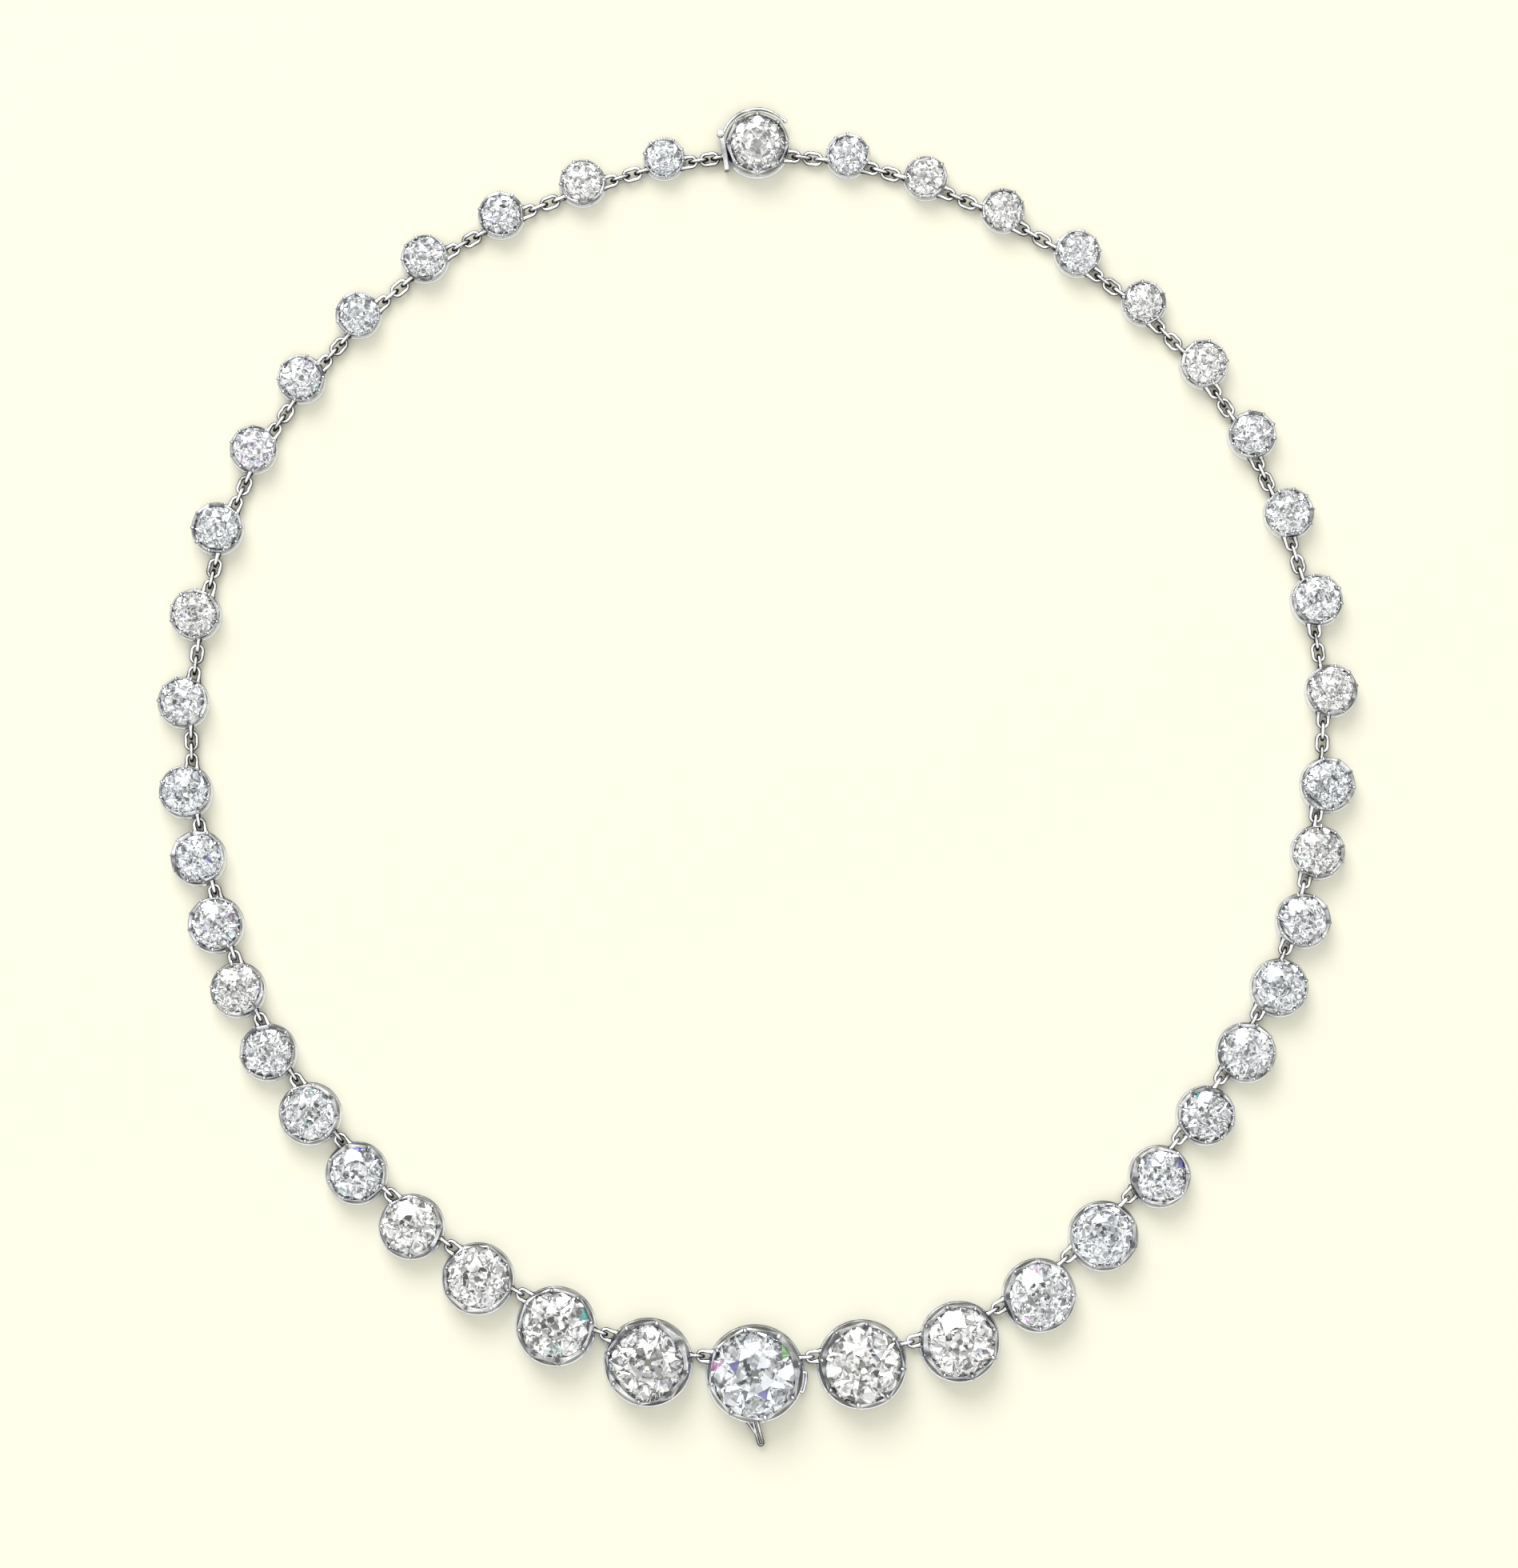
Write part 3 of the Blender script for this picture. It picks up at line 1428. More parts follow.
    def build(self) -> list[bpy.types.Object]:
        """Makes the cup and what is soldered to it.

        Returns:
            The cup and its fittings.
        """
        move = Matrix.Translation(self.sizes.mount.centre)
        name = self.necklace.names[self.index]
        cup = self.cup()
        cup.move(move)
        body = cup.object(f"{name}_cup", smooth_deg=20.0)
        soften(body, 0.03, 16.0, Finish.RIM)
        wires = Shape(Finish.CLAW, Finish.WIRE)
        self.fittings(wires)
        wires.move(move)
        return [body, wires.object(f"{name}_claws", smooth_deg=50.0)]


@dataclass
class FrontCollet(Collet):
    """The front collet, with its pendant hook and side fitting.

    Attributes:
        hook_wire: Thickness of the hook's wire.
        hook_w: Width of the hook.
        hook_l: How far the hook's bow is from the foot.
        hook_deg: How far the hook leans to the right.
        brace_wire: Thickness of the brace and of the side wire.
        brace_at: Where the brace meets the hook, as a share of its length.
        brace_taper: Thickness of the brace at even steps from the foot, as shares of its wire.
        side_from_deg: Where the side wire starts, as an angle round the collet.
        side_to_deg: Where it ends.
    """

    HOOK_STOPS = (1.0, 0.75, 0.5, 0.25)
    SIDE_STEPS = 10

    hook_wire: float = 0.34
    hook_w: float = 0.8
    hook_l: float = 2.1
    hook_deg: float = 15.0
    brace_wire: float = 0.3
    brace_at: float = 0.65
    brace_taper: tuple[float, ...] = (1.5, 1.2, 1.0, 0.95, 0.9)
    side_from_deg: float = 2.0
    side_to_deg: float = -21.0

    def hook(self, shape: Shape) -> None:
        """Adds the hairpin hook for a pendant, and its brace.

        Args:
            shape: What carries the hook.
        """
        c = self.necklace.chain
        z = UP * c.chain_z
        hook_r = (self.hook_w - self.hook_wire) / 2.0
        root = Vector((0.0, c.eyelet_sink - self.sizes.base_r, 0.0))
        out = Vector((sine(self.hook_deg), -cosine(self.hook_deg), 0.0))
        length = self.hook_l + c.eyelet_sink - self.shy
        side = UP.cross(out)
        tip = root + out * length
        bow = [tip + (side * cosine(a) + out * sine(a)) * hook_r for a in range(0, 181, 15)]
        legs = [[tip + side * (way * hook_r) - out * length * t for t in self.HOOK_STOPS]
                for way in (1.0, -1.0)]
        line = [p + z for p in legs[0] + bow + legs[1][::-1]]
        shape.wire(line, UP, [self.hook_wire / 2.0] * len(line), Finish.OLD_WIRE)
        start = Vector((-self.hook_w, root.y, 0.0))
        end = root + out * length * self.brace_at - Vector((hook_r, 0.0, 0.0))
        last = len(self.brace_taper) - 1
        brace = [start.lerp(end, k / last) + z for k in range(last + 1)]
        shape.wire(brace, UP, [self.brace_wire / 2.0 * share for share in self.brace_taper], Finish.OLD_WIRE)

    def side_wire(self, shape: Shape) -> None:
        """Adds the curved wire at the right of the collet.

        Args:
            shape: What carries the wire.
        """
        chain = self.necklace.chain
        radius = self.sizes.base_r + self.brace_wire / 2.0
        inner = self.sizes.wall_r(chain.chain_z) - chain.eyelet_sink
        reach = self.side_to_deg - self.side_from_deg
        turns = [self.side_from_deg + reach * t / self.SIDE_STEPS for t in range(self.SIDE_STEPS + 1)]
        line = [polar(r, a, chain.chain_z) for r, a in
                ((inner, turns[0]), *((radius, a) for a in turns), (inner, turns[-1]))]
        shape.wire(line, UP, [self.brace_wire / 2.0] * len(line), Finish.WIRE)

    def fittings(self, shape: Shape) -> None:
        """Adds the claws, wires and the two fittings.

        Args:
            shape: What carries them.
        """
        super().fittings(shape)
        self.hook(shape)
        self.side_wire(shape)


@dataclass
class ClaspSizes:
    """The sizes of the clasp's tongue and safety catch, along the line from the clasp to the last collet.

    Attributes:
        flat_in: How far the clasp's collet is cut flat.
        gap: Room between pieces that move on each other.
        plate_t: Thickness of the tongue's end plate.
        plate_h: Its height.
        plate_z: Height of its lower edge.
        plate_in: How far it reaches toward the inside of the loop.
        plate_out: How far it reaches toward the outside.
        tongue_w: Width of the tongue.
        tongue_l: Length of its springy leaf.
        tongue_t: Thickness of its sheet.
        tongue_z: Height of its underside.
        tongue_deg: How far the leaf springs up.
        catch_h: Height of the catch's band.
        catch_t: Its thickness.
        catch_z: Height of its lower edge.
        catch_gap: Room between it and the collet's foot.
        catch_edge: Rounding of its edges.
        band_from_deg: How far past the hinge the band starts.
        band_end_deg: Where the band ends, as an angle round the collet.
        band_taper: How much lower the band gets toward its end, as a share of its height.
        knuckle_d: Width of the hinge's knuckle.
        knuckle_out: How far the knuckle stands out from the band.
        pin_d: Thickness of the hinge's pin.
        pin_gap: Room round the pin.
        rivet_d: Width of the pin's head.
        rivet_h: Height of the head.
        lug_h: Height of the lug that carries the pin.
        hinge_deg: Where the hinge is, as an angle round the collet.
        post_edge: Rounding of the ends of posts.
        thumb_deg: Where the thumb wire ends, as an angle round the collet.
        thumb_lap_deg: How far the thumb wire runs on the band.
        thumb_wire: Thickness of the thumb wire.
        thumb_taper: How much thinner it gets toward its end, as a share.
        thumb_bead_d: Width of the bead at its end.
        thumb_bead_out: How far the bead stands out, as a share of its width.
    """

    flat_in: float = 0.25
    gap: float = 0.1
    plate_t: float = 0.45
    plate_h: float = 2.4
    plate_z: float = 0.12
    plate_in: float = 2.3
    plate_out: float = 1.1
    tongue_w: float = 1.8
    tongue_l: float = 1.4
    tongue_t: float = 0.22
    tongue_z: float = 0.4
    tongue_deg: float = 9.0
    catch_h: float = 0.7
    catch_t: float = 0.3
    catch_z: float = 1.3
    catch_gap: float = 0.12
    catch_edge: float = 0.07
    band_from_deg: float = 3.5
    band_end_deg: float = 126.0
    band_taper: float = 0.35
    knuckle_d: float = 0.8
    knuckle_out: float = 0.04
    pin_d: float = 0.34
    pin_gap: float = 0.06
    rivet_d: float = 0.6
    rivet_h: float = 0.12
    lug_h: float = 0.5
    hinge_deg: float = 25.0
    post_edge: float = 0.04
    thumb_deg: float = 148.0
    thumb_lap_deg: float = 2.0
    thumb_wire: float = 0.28
    thumb_taper: float = 0.15
    thumb_bead_d: float = 0.56
    thumb_bead_out: float = 0.15


@dataclass
class ClaspCollet(Collet):
    """The clasp's collet, cut flat where the tongue goes in.

    Attributes:
        clasp: The sizes of the clasp.
    """

    clasp: ClaspSizes = field(default_factory=ClaspSizes)

    def cup(self) -> Shape:
        """Makes the cup, cut flat where the tongue's plate lies.

        Returns:
            The cup.
        """
        shape = super().cup()
        out = polar(-1.0, self.necklace.heading(self.necklace.count - 1))
        shape.cut(out * (self.sizes.base_r - self.clasp.flat_in), out, Finish.CUT)
        return shape

    def loop(self, shape: Shape) -> None:
        """Adds nothing: the tongue carries this side's loop."""


@dataclass
class Clasp:
    """The tongue with its end plate and hinge pin, and the safety catch that turns on it.

    Attributes:
        necklace: The necklace.
        sizes: The sizes of the clasp.
    """

    ROUND = 24
    BAND_STEPS = 40
    TAPER_STEPS = 10
    THUMB_STEPS = 12
    CORE = 0.002

    necklace: Necklace
    sizes: ClaspSizes = field(default_factory=ClaspSizes)

    def __post_init__(self) -> None:
        """Works out where the plate, the catch and the hinge are."""
        sizes = self.sizes
        collet = self.necklace.sizes[self.necklace.CLASP]
        self.base_r = collet.base_r
        self.plate_near = self.base_r - sizes.flat_in + sizes.gap
        self.catch_r = self.base_r + sizes.catch_gap
        hinge_r = self.catch_r + sizes.knuckle_out + sizes.knuckle_d / 2.0
        self.hinge = polar(hinge_r, -sizes.hinge_deg)
        self.lug_z = sizes.catch_z - sizes.gap - sizes.lug_h
        turn = math.radians(self.necklace.heading(self.necklace.count - 1) + 180.0)
        self.place = Matrix.Translation(collet.mount.centre) @ Matrix.Rotation(turn, 4, "Z")

    @property
    def loop_at(self) -> float:
        """How far from the clasp's middle the bow of the tongue's loop is."""
        return self.plate_near + self.sizes.plate_t + self.necklace.chain.eyelet_reach

    def post(self, shape: Shape, radius: float, low: float, high: float, finish: Finish,
             bore: float = 0.0) -> None:
        """Adds a round post or tube on the hinge's axis.

        Args:
            shape: What it is part of.
            radius: Its radius.
            low: Its lower end.
            high: Its upper end.
            finish: Its finish.
            bore: The radius of its hole, or 0.
        """
        edge = min(self.sizes.post_edge, (high - low) / 4.0)
        inner = max(bore, self.CORE)
        profile = [(inner, low), (radius - edge, low), (radius, low + edge), (radius, high - edge),
                   (radius - edge, high), (inner, high)]
        part = Shape(finish)
        part.revolve(lambda turn: profile, [finish] * len(profile), self.ROUND)
        part.move(Matrix.Translation(self.hinge))
        mesh = bpy.data.meshes.new("post")
        part.bm.to_mesh(mesh)
        part.bm.free()
        shape.slot(finish)
        known = set(shape.bm.faces)
        shape.bm.from_mesh(mesh)
        for face in shape.bm.faces:
            if face not in known:
                face.material_index = shape.slot(finish)
        bpy.data.meshes.remove(mesh)

    def tongue(self) -> bpy.types.Object:
        """Makes the end plate, the folded tongue, and the hinge's lug and pin.

        Returns:
            The tongue.
        """
        s = self.sizes
        shape = Shape(Finish.PLATE, Finish.RIM, Finish.WIRE, Finish.PIN)
        near = self.plate_near
        shape.slab(Vector((near, -s.plate_out, s.plate_z)),
                   Vector((near + s.plate_t, s.plate_in, s.plate_z + s.plate_h)), Finish.PLATE)
        reach = self.base_r - s.flat_in - self.necklace.sizes[0].wall_t - s.tongue_l
        shape.slab(Vector((reach, -s.tongue_w / 2, s.tongue_z)),
                   Vector((near + s.plate_t / 2, s.tongue_w / 2, s.tongue_z + s.tongue_t)), Finish.PLATE)
        spring = Matrix.Rotation(-math.radians(s.tongue_deg), 4, "Y")
        leaf_l = s.tongue_l * cosine(s.tongue_deg)
        shape.slab(Vector((0, -s.tongue_w / 2, 0)), Vector((leaf_l, s.tongue_w / 2, s.tongue_t)),
                   Finish.PLATE, Matrix.Translation((reach, 0, s.tongue_z)) @ spring)
        shape.slab(Vector((near, self.hinge.y - s.pin_d / 2, self.lug_z)),
                   Vector((near + s.plate_t, -s.plate_out + s.pin_d / 2, self.lug_z + s.lug_h)), Finish.PLATE)
        self.post(shape, s.knuckle_d / 2, self.lug_z, self.lug_z + s.lug_h, Finish.PLATE)
        top = s.catch_z + s.catch_h + s.gap
        self.post(shape, s.pin_d / 2, self.lug_z + s.lug_h / 2, top + s.rivet_h / 2, Finish.PIN)
        self.post(shape, s.rivet_d / 2, top, top + s.rivet_h, Finish.RIM)
        shape.move(self.place)
        plate = shape.object("clasp_tongue_plate", smooth_deg=30.0)
        soften(plate, 0.04, 40.0, Finish.RIM)
        return plate

    def tongue_loop(self) -> bpy.types.Object:
        """Makes the loop on the tongue's end plate that takes the chain.

        Returns:
            The loop.
        """
        chain = self.necklace.chain
        shape = Shape(Finish.WIRE)
        leg = chain.eyelet_reach + self.sizes.plate_t / 2.0
        middle = Vector((self.loop_at, self.necklace.inset(self.necklace.count - 1), chain.chain_z))
        collet = Collet(self.necklace, self.necklace.CLASP)
        collet.staple(shape, middle, Vector((1, 0, 0)), UP, (leg, leg))
        shape.move(self.place)
        return shape.object("clasp_tongue_loop", smooth_deg=50.0)

    def band_section(self, k: int) -> list[Pair]:
        """Gives the outline across the catch's band, which gets lower toward its end.

        Args:
            k: How many steps along the band it is.

        Returns:
            The outline's corners, outward and upward.
        """
        s = self.sizes
        edge = s.catch_edge
        late = max(0.0, (k - self.BAND_STEPS + self.TAPER_STEPS) / self.TAPER_STEPS)
        t, h = s.catch_t / 2.0, s.catch_h / 2.0 * (1.0 - s.band_taper * late)
        return [(-t, -h + edge), (-t + edge, -h), (t - edge, -h), (t, -h + edge),
                (t, h - edge), (t - edge, h), (-t + edge, h), (-t, h - edge)]

    def catch(self) -> bpy.types.Object:
        """Makes the safety catch: knuckle, curved band, thumb wire and bead.

        Returns:
            The catch.
        """
        s = self.sizes
        shape = Shape(Finish.WIRE, Finish.RIM)
        middle_z = s.catch_z + s.catch_h / 2.0
        line_r = self.catch_r + s.catch_t / 2.0
        start = s.hinge_deg + s.band_from_deg
        turns = [start + (s.band_end_deg - start) * t / self.BAND_STEPS for t in range(self.BAND_STEPS + 1)]
        sections = [self.band_section(k) for k, _ in enumerate(turns)]
        shape.sweep([polar(line_r, -a, middle_z) for a in turns], UP, sections, Finish.WIRE)
        start = s.band_end_deg - s.thumb_lap_deg
        steps = [k / self.THUMB_STEPS for k in range(self.THUMB_STEPS + 1)]
        thumb = [polar(line_r, -(start + (s.thumb_deg - start) * t), middle_z) for t in steps]
        shape.wire(thumb, UP, [s.thumb_wire / 2.0 * (1.0 - s.thumb_taper * t) for t in steps], Finish.WIRE)
        bead_r = s.thumb_bead_d / 2.0
        shape.bead(polar(line_r + s.thumb_bead_d * s.thumb_bead_out, -s.thumb_deg, middle_z),
                   Vector((bead_r, bead_r, bead_r)), Finish.RIM)
        bore = s.pin_d / 2 + s.pin_gap
        self.post(shape, s.knuckle_d / 2, s.catch_z, s.catch_z + s.catch_h, Finish.WIRE, bore)
        shape.move(self.place)
        return shape.object("safety_catch_arm", smooth_deg=35.0)


@dataclass
class Link:
    """One loose link of the chain.

    Attributes:
        chain: The chain's sizes.
        grime: Tarnish in the bows, where links hold each other.
        rubbed: The share of it that wear takes off the straight sides.
        polished: Tarnish that wear takes off all over.
        thinned: How much thinner wear makes the wire in places, as a share.
    """

    BOW_STEPS = 12

    chain: ChainSizes
    grime: float = 0.3
    rubbed: float = 0.25
    polished: float = 0.05
    thinned: float = 0.05

    def add(self, shape: Shape, middle: Vector, along: Vector, side: Vector, chance: random.Random) -> None:
        """Adds the link to a mesh.

        Args:
            shape: The mesh.
            middle: The link's middle.
            along: The direction of its length.
            side: The direction of its width.
            chance: What makes it a little uneven.
        """
        c = self.chain
        radius = (c.link_w - c.link_wire) / 2.0
        straight = (c.link_l - c.link_w) / 2.0
        line = []
        grime = []
        for way in (1.0, -1.0):
            for k in range(self.BOW_STEPS + 1):
                a = 180.0 * k / self.BOW_STEPS
                end = middle + along * way * (straight + radius * sine(a))
                line.append(end + side * way * radius * cosine(a))
                beside = abs(k / self.BOW_STEPS - 0.5) * 2.0
                grime.append(self.grime * (1.0 - self.rubbed * beside) - self.polished)
        radii = [c.link_wire / 2.0 * (1.0 - self.thinned * chance.random()) for _ in line]
        shape.wire(line, side.cross(along), radii, Finish.WIRE, closed=True, tarnish=grime)


@dataclass
class Chain:
    """All loose links, two between neighbours wherever a ring doesn't hold the next loop itself.

    Attributes:
        necklace: The necklace.
    """

    SEED = 7

    necklace: Necklace

    def middles(self, i: int) -> list[np.ndarray]:
        """Works out where two links after a collet have their middles, from the room between its neighbours.

        Args:
            i: The collet's number.

        Returns:
            The middles of the first and the second link.
        """
        n = self.necklace
        c = n.chain
        following = n.after(i)
        out = polar(1.0, n.heading(i))
        side = UP.cross(out)
        start = n.mounts[i].centre + out * n.ring_at(i)
        loop_at = Clasp(n).loop_at if following == n.CLASP else n.loop_at(following)
        end = n.mounts[following].centre - out * loop_at
        room = (end - start).length
        span = c.link_l - c.link_wire
        play = (2.0 * c.eyelet_r + 2.0 * span - 3.0 * c.link_wire - room) / 3.0
        grip = c.link_wire + play
        first = c.eyelet_r - grip + span / 2.0
        second = first + span - c.link_wire - play
        base = start - side * n.inset(i) + UP * c.chain_z
        return [np.array(base + out * at) for at in (first, second)]

    def build(self, name: str) -> bpy.types.Object:
        """Makes the links of one node.

        Args:
            name: The node that they stand for.

        Returns:
            The links as one object.
        """
        n = self.necklace
        first, last = (0, n.FRONT) if name == "links_right" else (n.FRONT, n.count)
        points = n.points(name)
        chance = random.Random(self.SEED + first)
        shape = Shape(Finish.WIRE)
        link = Link(n.chain)
        for i in range(first, last):
            middles = self.middles(i)
            if np.linalg.norm(points - middles[0], axis=1).min() > n.chain.link_l:
                continue
            out = polar(1.0, n.heading(i))
            for middle, across in zip(middles, (UP, UP.cross(out))):
                link.add(shape, Vector(middle), out, across, chance)
        return shape.object(f"{name}_wire", smooth_deg=50.0)


@dataclass
class Studio:
    """The ground, the lights, the surroundings and the camera.

    Attributes:
        target: What the camera looks at.
        distance: How far off it is.
        elevation_deg: How high it looks from.
        frame_h: Height of the picture at the target.
        sensor: Height of the camera's sensor.
        sharp_m: The nearest and farthest that the camera sees.
        ground_w_m: Width of the ground.
        key_from_m: Where the large light is.
        key_size_m: Its width.
        key_power: Its power.
        overhead: Brightness of the light above, for metal and ground.
        sides: Brightness of the walls beside it.
        horizon: Brightness near the ground.
        overhead_from_deg: Height angle above which the light is.
        overhead_soft_deg: How softly it ends.
        horizon_to_deg: Height angle below which it is dark.
        horizon_soft_deg: How softly that ends.
        ground_low: Brightness of the walls for matt surfaces.
        ground_high: Brightness of the light above for them.
        ground_soft_deg: How softly that light ends.
        field_scale: How fine the fields are that the stones show.
        field_detail: How ragged they are.
        field_low: The fields' level below which they are dark.
        field_mid: The level below which they are grey.
        field_high: The level above which they glare.
        field_edge: How soft the fields' edges are.
        fringe: How far apart a stone spreads red, green and blue.
        fringe_way: The direction in which it does.
        dark: Brightness of dark fields.
        grey: Brightness of grey fields.
        pale: Brightness of pale fields.
        glare: Brightness of glaring fields.
        lens_deg: Half the angle that the lens and its hood take up overhead.
        lens_soft_deg: How softly they end.
        lens_dark: How much light is left there.
    """

    target: Triple = (0.154, -1.077, 2.0)
    distance: float = 1000.0
    elevation_deg: float = 86.5
    frame_h: float = 168.48
    sensor: float = 36.0
    sharp_m: Pair = (0.01, 20.0)
    ground_w_m: float = 4.0
    key_from_m: Triple = (-0.7, 2.15, 2.3)
    key_size_m: float = 2.4
    key_power: float = 65.0
    overhead: float = 1.3
    sides: float = 0.95
    horizon: float = 0.7
    overhead_from_deg: float = 54.0
    overhead_soft_deg: float = 5.0
    horizon_to_deg: float = 20.0
    horizon_soft_deg: float = 8.0
    ground_low: float = 0.4
    ground_high: float = 1.8
    ground_soft_deg: float = 8.0
    field_scale: float = 9.0
    field_detail: float = 1.5
    field_low: float = 0.438
    field_mid: float = 0.5
    field_high: float = 0.56
    field_edge: float = 0.01
    fringe: float = 0.0006
    fringe_way: Triple = (0.7, -0.5, 0.5)
    dark: float = 0.02
    grey: float = 0.46
    pale: float = 0.82
    glare: float = 1.22
    lens_deg: float = 8.0
    lens_soft_deg: float = 2.0
    lens_dark: float = 0.45

    def camera(self) -> None:
        """Sets up the camera at the photograph's angle."""
        data = bpy.data.cameras.new("camera")
        data.sensor_fit = "VERTICAL"
        data.sensor_height = self.sensor
        data.lens = self.sensor * self.distance / self.frame_h
        data.clip_start, data.clip_end = self.sharp_m
        made = bpy.data.objects.new("camera", data)
        toward = self.view()
        made.location = (Vector(self.target) + toward * self.distance) * MM
        made.rotation_euler = (-toward).to_track_quat("-Z", "Y").to_euler()
        bpy.context.scene.collection.objects.link(made)
        bpy.context.scene.camera = made

    def view(self) -> Vector:
        """Returns the direction from the necklace to the camera."""
        return Vector((0.0, -cosine(self.elevation_deg), sine(self.elevation_deg)))

    def ground(self) -> bpy.types.Object:
        """Makes the pale ground.

        Returns:
            The ground's object.
        """
        half = self.ground_w_m / 2.0
        mesh = bpy.data.meshes.new("ground")
        corners = [(-half, -half, 0.0), (half, -half, 0.0), (half, half, 0.0), (-half, half, 0.0)]
        mesh.from_pydata(corners, [], [(0, 1, 2, 3)])
        mesh.materials.append(Ground().material())
        made = bpy.data.objects.new("ground", mesh)
        bpy.context.scene.collection.objects.link(made)
        return made

    def light(self) -> None:
        """Sets up the large soft light above the clasp's side."""
        data = bpy.data.lights.new("key", "AREA")
        data.shape = "DISK"
        data.size = self.key_size_m
        data.energy = self.key_power
        made = bpy.data.objects.new("key", data)
        made.location = self.key_from_m
        made.rotation_euler = (-Vector(self.key_from_m)).to_track_quat("-Z", "Y").to_euler()
        bpy.context.scene.collection.objects.link(made)

    def from_height(self, nodes: Nodes, height: bpy.types.NodeSocket, degrees: float, soft: float,
                    low: float, high: float) -> bpy.types.NodeSocket:
        """Changes a brightness at a height angle.

        Args:
            nodes: The surroundings' nodes.
            height: The sine of the height angle that is looked at.
            degrees: The height angle where the brightness changes.
            soft: How far it changes to either side, in degrees.
            low: The brightness below it.
            high: The brightness above it.

        Returns:
            The brightness.
        """
        return nodes.smooth_step(height, sine(degrees - soft), sine(degrees + soft), low, high)

    def fields(self, nodes: Nodes, way: bpy.types.NodeSocket,
               lens: bpy.types.NodeSocket) -> bpy.types.NodeSocket:
        """Lays out the fine light and dark fields that the stones show.

        Args:
            nodes: The surroundings' nodes.
            way: The direction that is looked in.
            lens: How much light the lens leaves there.

        Returns:
            The fields' colour, with edges a little apart in red, green and blue as a diamond spreads them.
        """
        steps = ((self.field_low, self.grey - self.dark), (self.field_mid, self.pale - self.grey),
                 (self.field_high, self.glare - self.pale))
        channels = []
        for k in range(3):
            shifted = nodes.vector("ADD", way, Vector(self.fringe_way) * (self.fringe * k))
            level = nodes.noise(shifted, self.field_scale, self.field_detail)
            bright: float | bpy.types.NodeSocket = self.dark
            for edge, rise in steps:
                step = nodes.smooth_step(level, edge - self.field_edge, edge + self.field_edge, 0.0, rise)
                bright = nodes.math("ADD", bright, step)
            channels.append(nodes.math("MULTIPLY", bright, lens))
        red, green, blue = channels
        return nodes.add("CombineColor", Red=red, Green=green, Blue=blue).outputs[0]

    def surroundings(self) -> None:
        """Sets up the studio round the necklace.

        Metal sees a light above, dimmer walls and a dark horizon. Light that has been through a stone sees
        the fine fields. Matt surfaces see a light above and darker walls. The lens is a grey round overhead.
        """
        world = bpy.data.worlds.new("studio")
        world.use_nodes = True
        nodes = Nodes(world.node_tree)
        way = nodes.add("TexCoord").outputs["Generated"]
        path = nodes.add("LightPath")
        up = nodes.add("SeparateXYZ", Vector=way).outputs["Z"]
        toward = nodes.vector("DOT_PRODUCT", way, self.view())
        lens = nodes.smooth_step(toward, cosine(self.lens_deg + self.lens_soft_deg), cosine(self.lens_deg),
                                 1.0, self.lens_dark)
        wall = self.from_height(nodes, up, self.horizon_to_deg, self.horizon_soft_deg,
                                self.horizon, self.sides)
        box = self.from_height(nodes, up, self.overhead_from_deg, self.overhead_soft_deg,
                               0.0, self.overhead - self.sides)
        soft = self.from_height(nodes, up, self.overhead_from_deg, self.ground_soft_deg,
                                self.ground_low, self.ground_high)
        plain = nodes.math("MULTIPLY", nodes.math("ADD", wall, box), lens)
        through = nodes.math("GREATER_THAN", path.outputs["Transmission Depth"], 0.5)
        seen = nodes.add("MixRGB", Fac=through, Color1=plain, Color2=self.fields(nodes, way, lens)).outputs[0]
        lit = nodes.add("MixRGB", Fac=path.outputs["Is Diffuse Ray"], Color1=seen, Color2=soft).outputs[0]
        nodes.add("OutputWorld", Surface=nodes.add("Background", Color=lit).outputs[0])
        bpy.context.scene.world = world

    def quality(self) -> None:
        """Lets light turn often enough inside the stones, and shows tones as they are."""
        scene = bpy.context.scene
        scene.view_settings.view_transform = "Standard"
        cycles = scene.cycles
        cycles.max_bounces = 32
        cycles.glossy_bounces = 24
        cycles.transmission_bounces = 24
        cycles.diffuse_bounces = 4
        cycles.sample_clamp_indirect = 6.0

    def build(self) -> bpy.types.Object:
        """Sets up all of it.

        Returns:
            The ground's object.
        """
        self.quality()
        self.camera()
        self.light()
        self.surroundings()
        return self.ground()


def keep(pieces: Iterable[bpy.types.Object], slot: Slot, *nodes: str, body: str = ROOT) -> None:
    """Hands finished pieces over to the frame.

    Args:
        pieces: The pieces.
        slot: The record's slot that they take their finish from.
        *nodes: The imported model's nodes that they stand for.
        body: The body that they move with.
    """
    for piece in pieces:
        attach(piece, body)
        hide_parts(*nodes)
        LOG.info("%s: %d faces", piece.name, len(piece.data.polygons))


def cut_of(index: int, chance: random.Random) -> Cut:
    """Chooses the proportions of a stone, each a little its own.

    Args:
        index: The stone's number.
        chance: What varies them.

    Returns:
        The proportions.
    """
    if index == Necklace.CLASP:
        return CLASP_CUT
    ordinary = Cut()
    own = {name: getattr(ordinary, name) + chance.uniform(*spread) for name, spread in CUT_SPREAD.items()}
    return replace(ordinary, **own)


def collet_of(necklace: Necklace, index: int, clasp: ClaspSizes) -> Collet:
    """Chooses the kind of a collet.

    Args:
        necklace: The necklace.
        index: The collet's number.
        clasp: The sizes of the clasp.

    Returns:
        The collet.
    """
    if index == necklace.CLASP:
        return ClaspCollet(necklace, index, clasp=clasp)
    return FrontCollet(necklace, index) if index == necklace.FRONT else Collet(necklace, index)


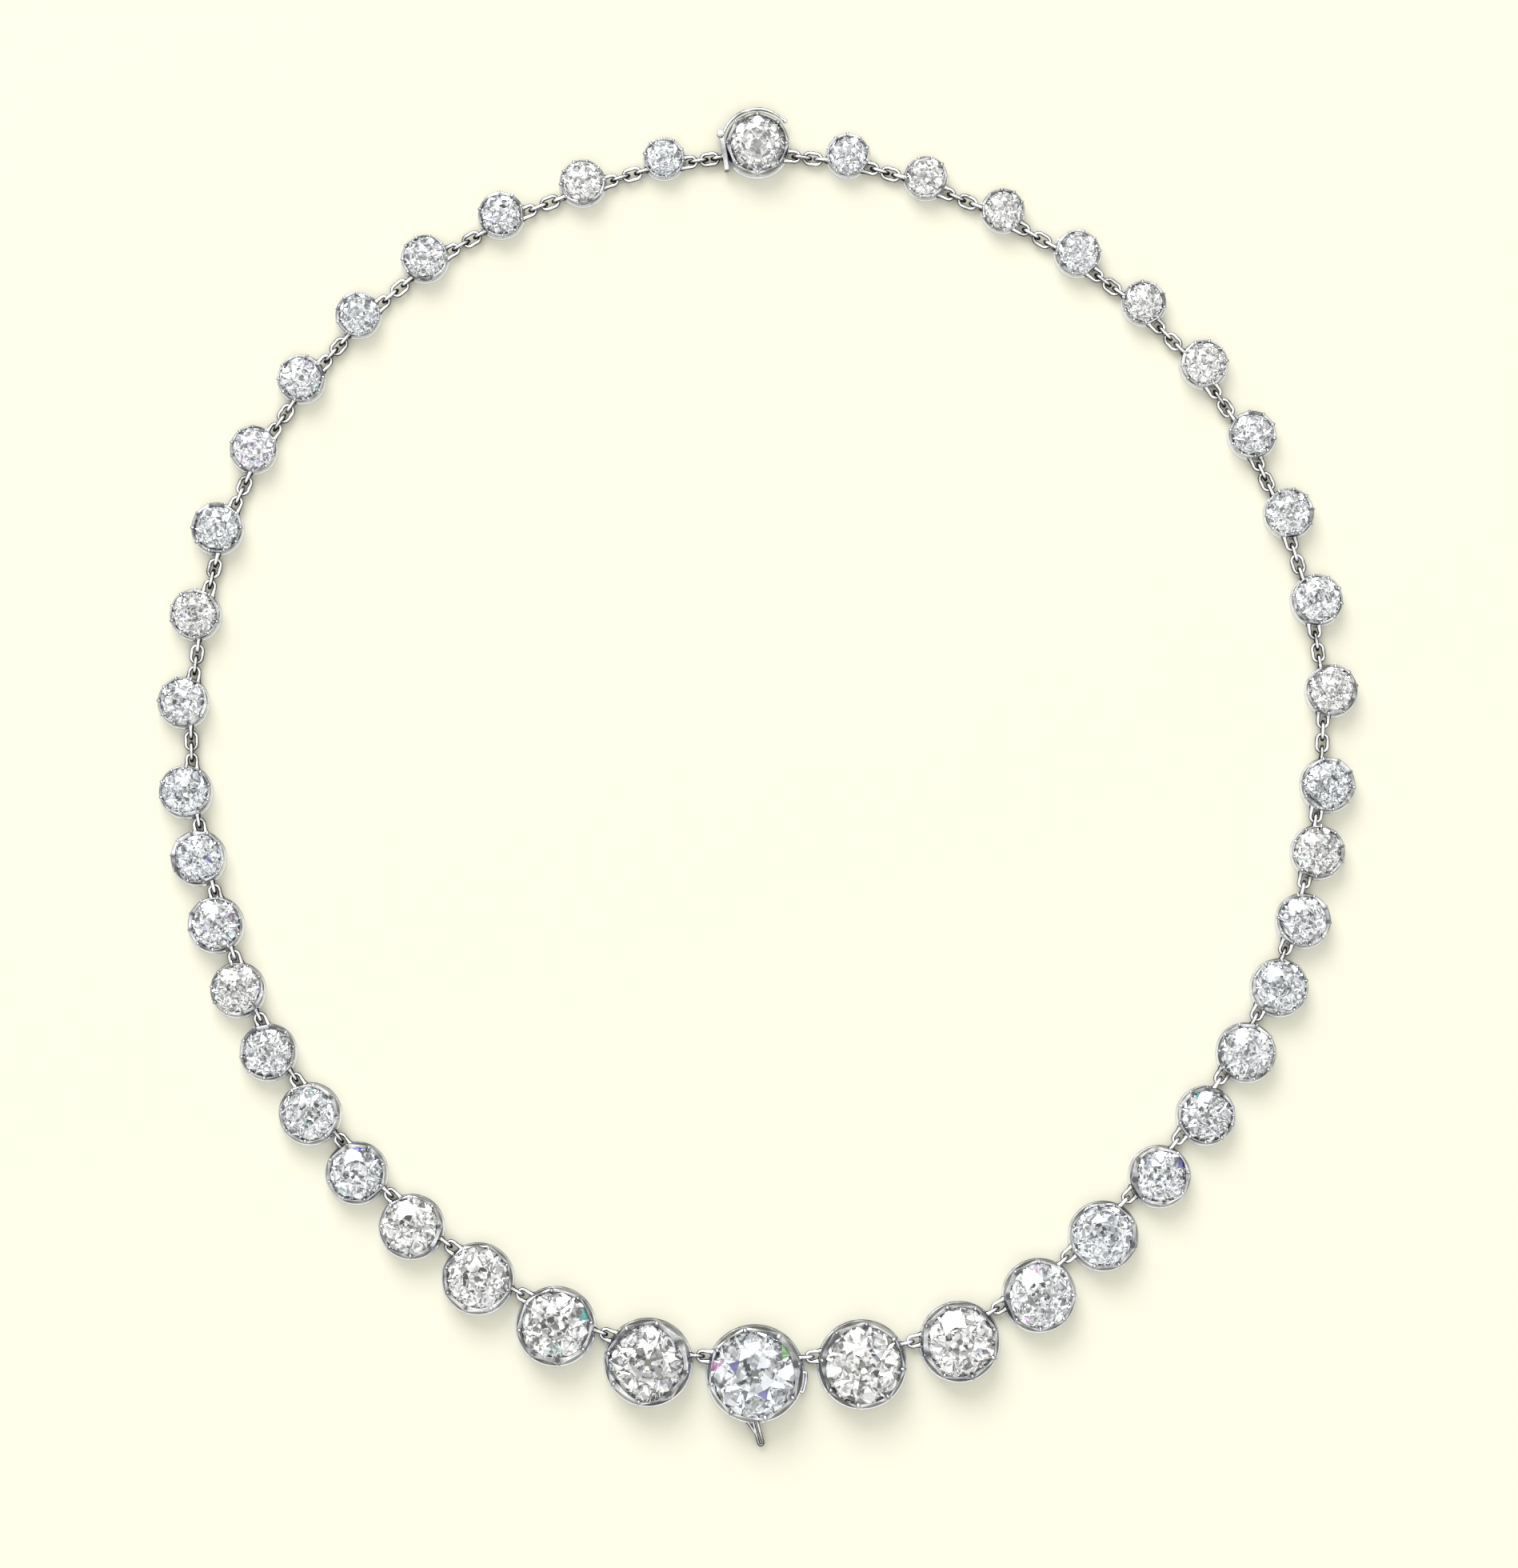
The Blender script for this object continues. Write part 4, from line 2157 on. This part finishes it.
def main() -> None:
    """Builds the studio and the necklace, piece by piece."""
    logging.basicConfig(level=logging.INFO, format="%(name)s %(message)s")
    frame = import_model()
    Studio().build()
    necklace = Necklace(frame["nodes"])
    clasp = Clasp(necklace)
    chance = random.Random(Diamond.SEED)
    for i in range(necklace.count):
        keep(collet_of(necklace, i, clasp.sizes).build(), Slot.COLLET, necklace.names[i])
        tint = chance.choice(TINTS)
        stone = Diamond(necklace.sizes[i], cut_of(i, chance), tint)
        keep([stone.build()], Slot.DIAMOND, necklace.stone_node(i))
    chain = Chain(necklace)
    for name in ("links_right", "links_left"):
        keep([chain.build(name)], Slot.LINK, name)
    keep([clasp.tongue(), clasp.tongue_loop()], Slot.CLASP, "clasp_tongue")
    keep([clasp.catch()], Slot.CLASP, "safety_catch", body=CATCH)


if __name__ == "__main__":
    main()
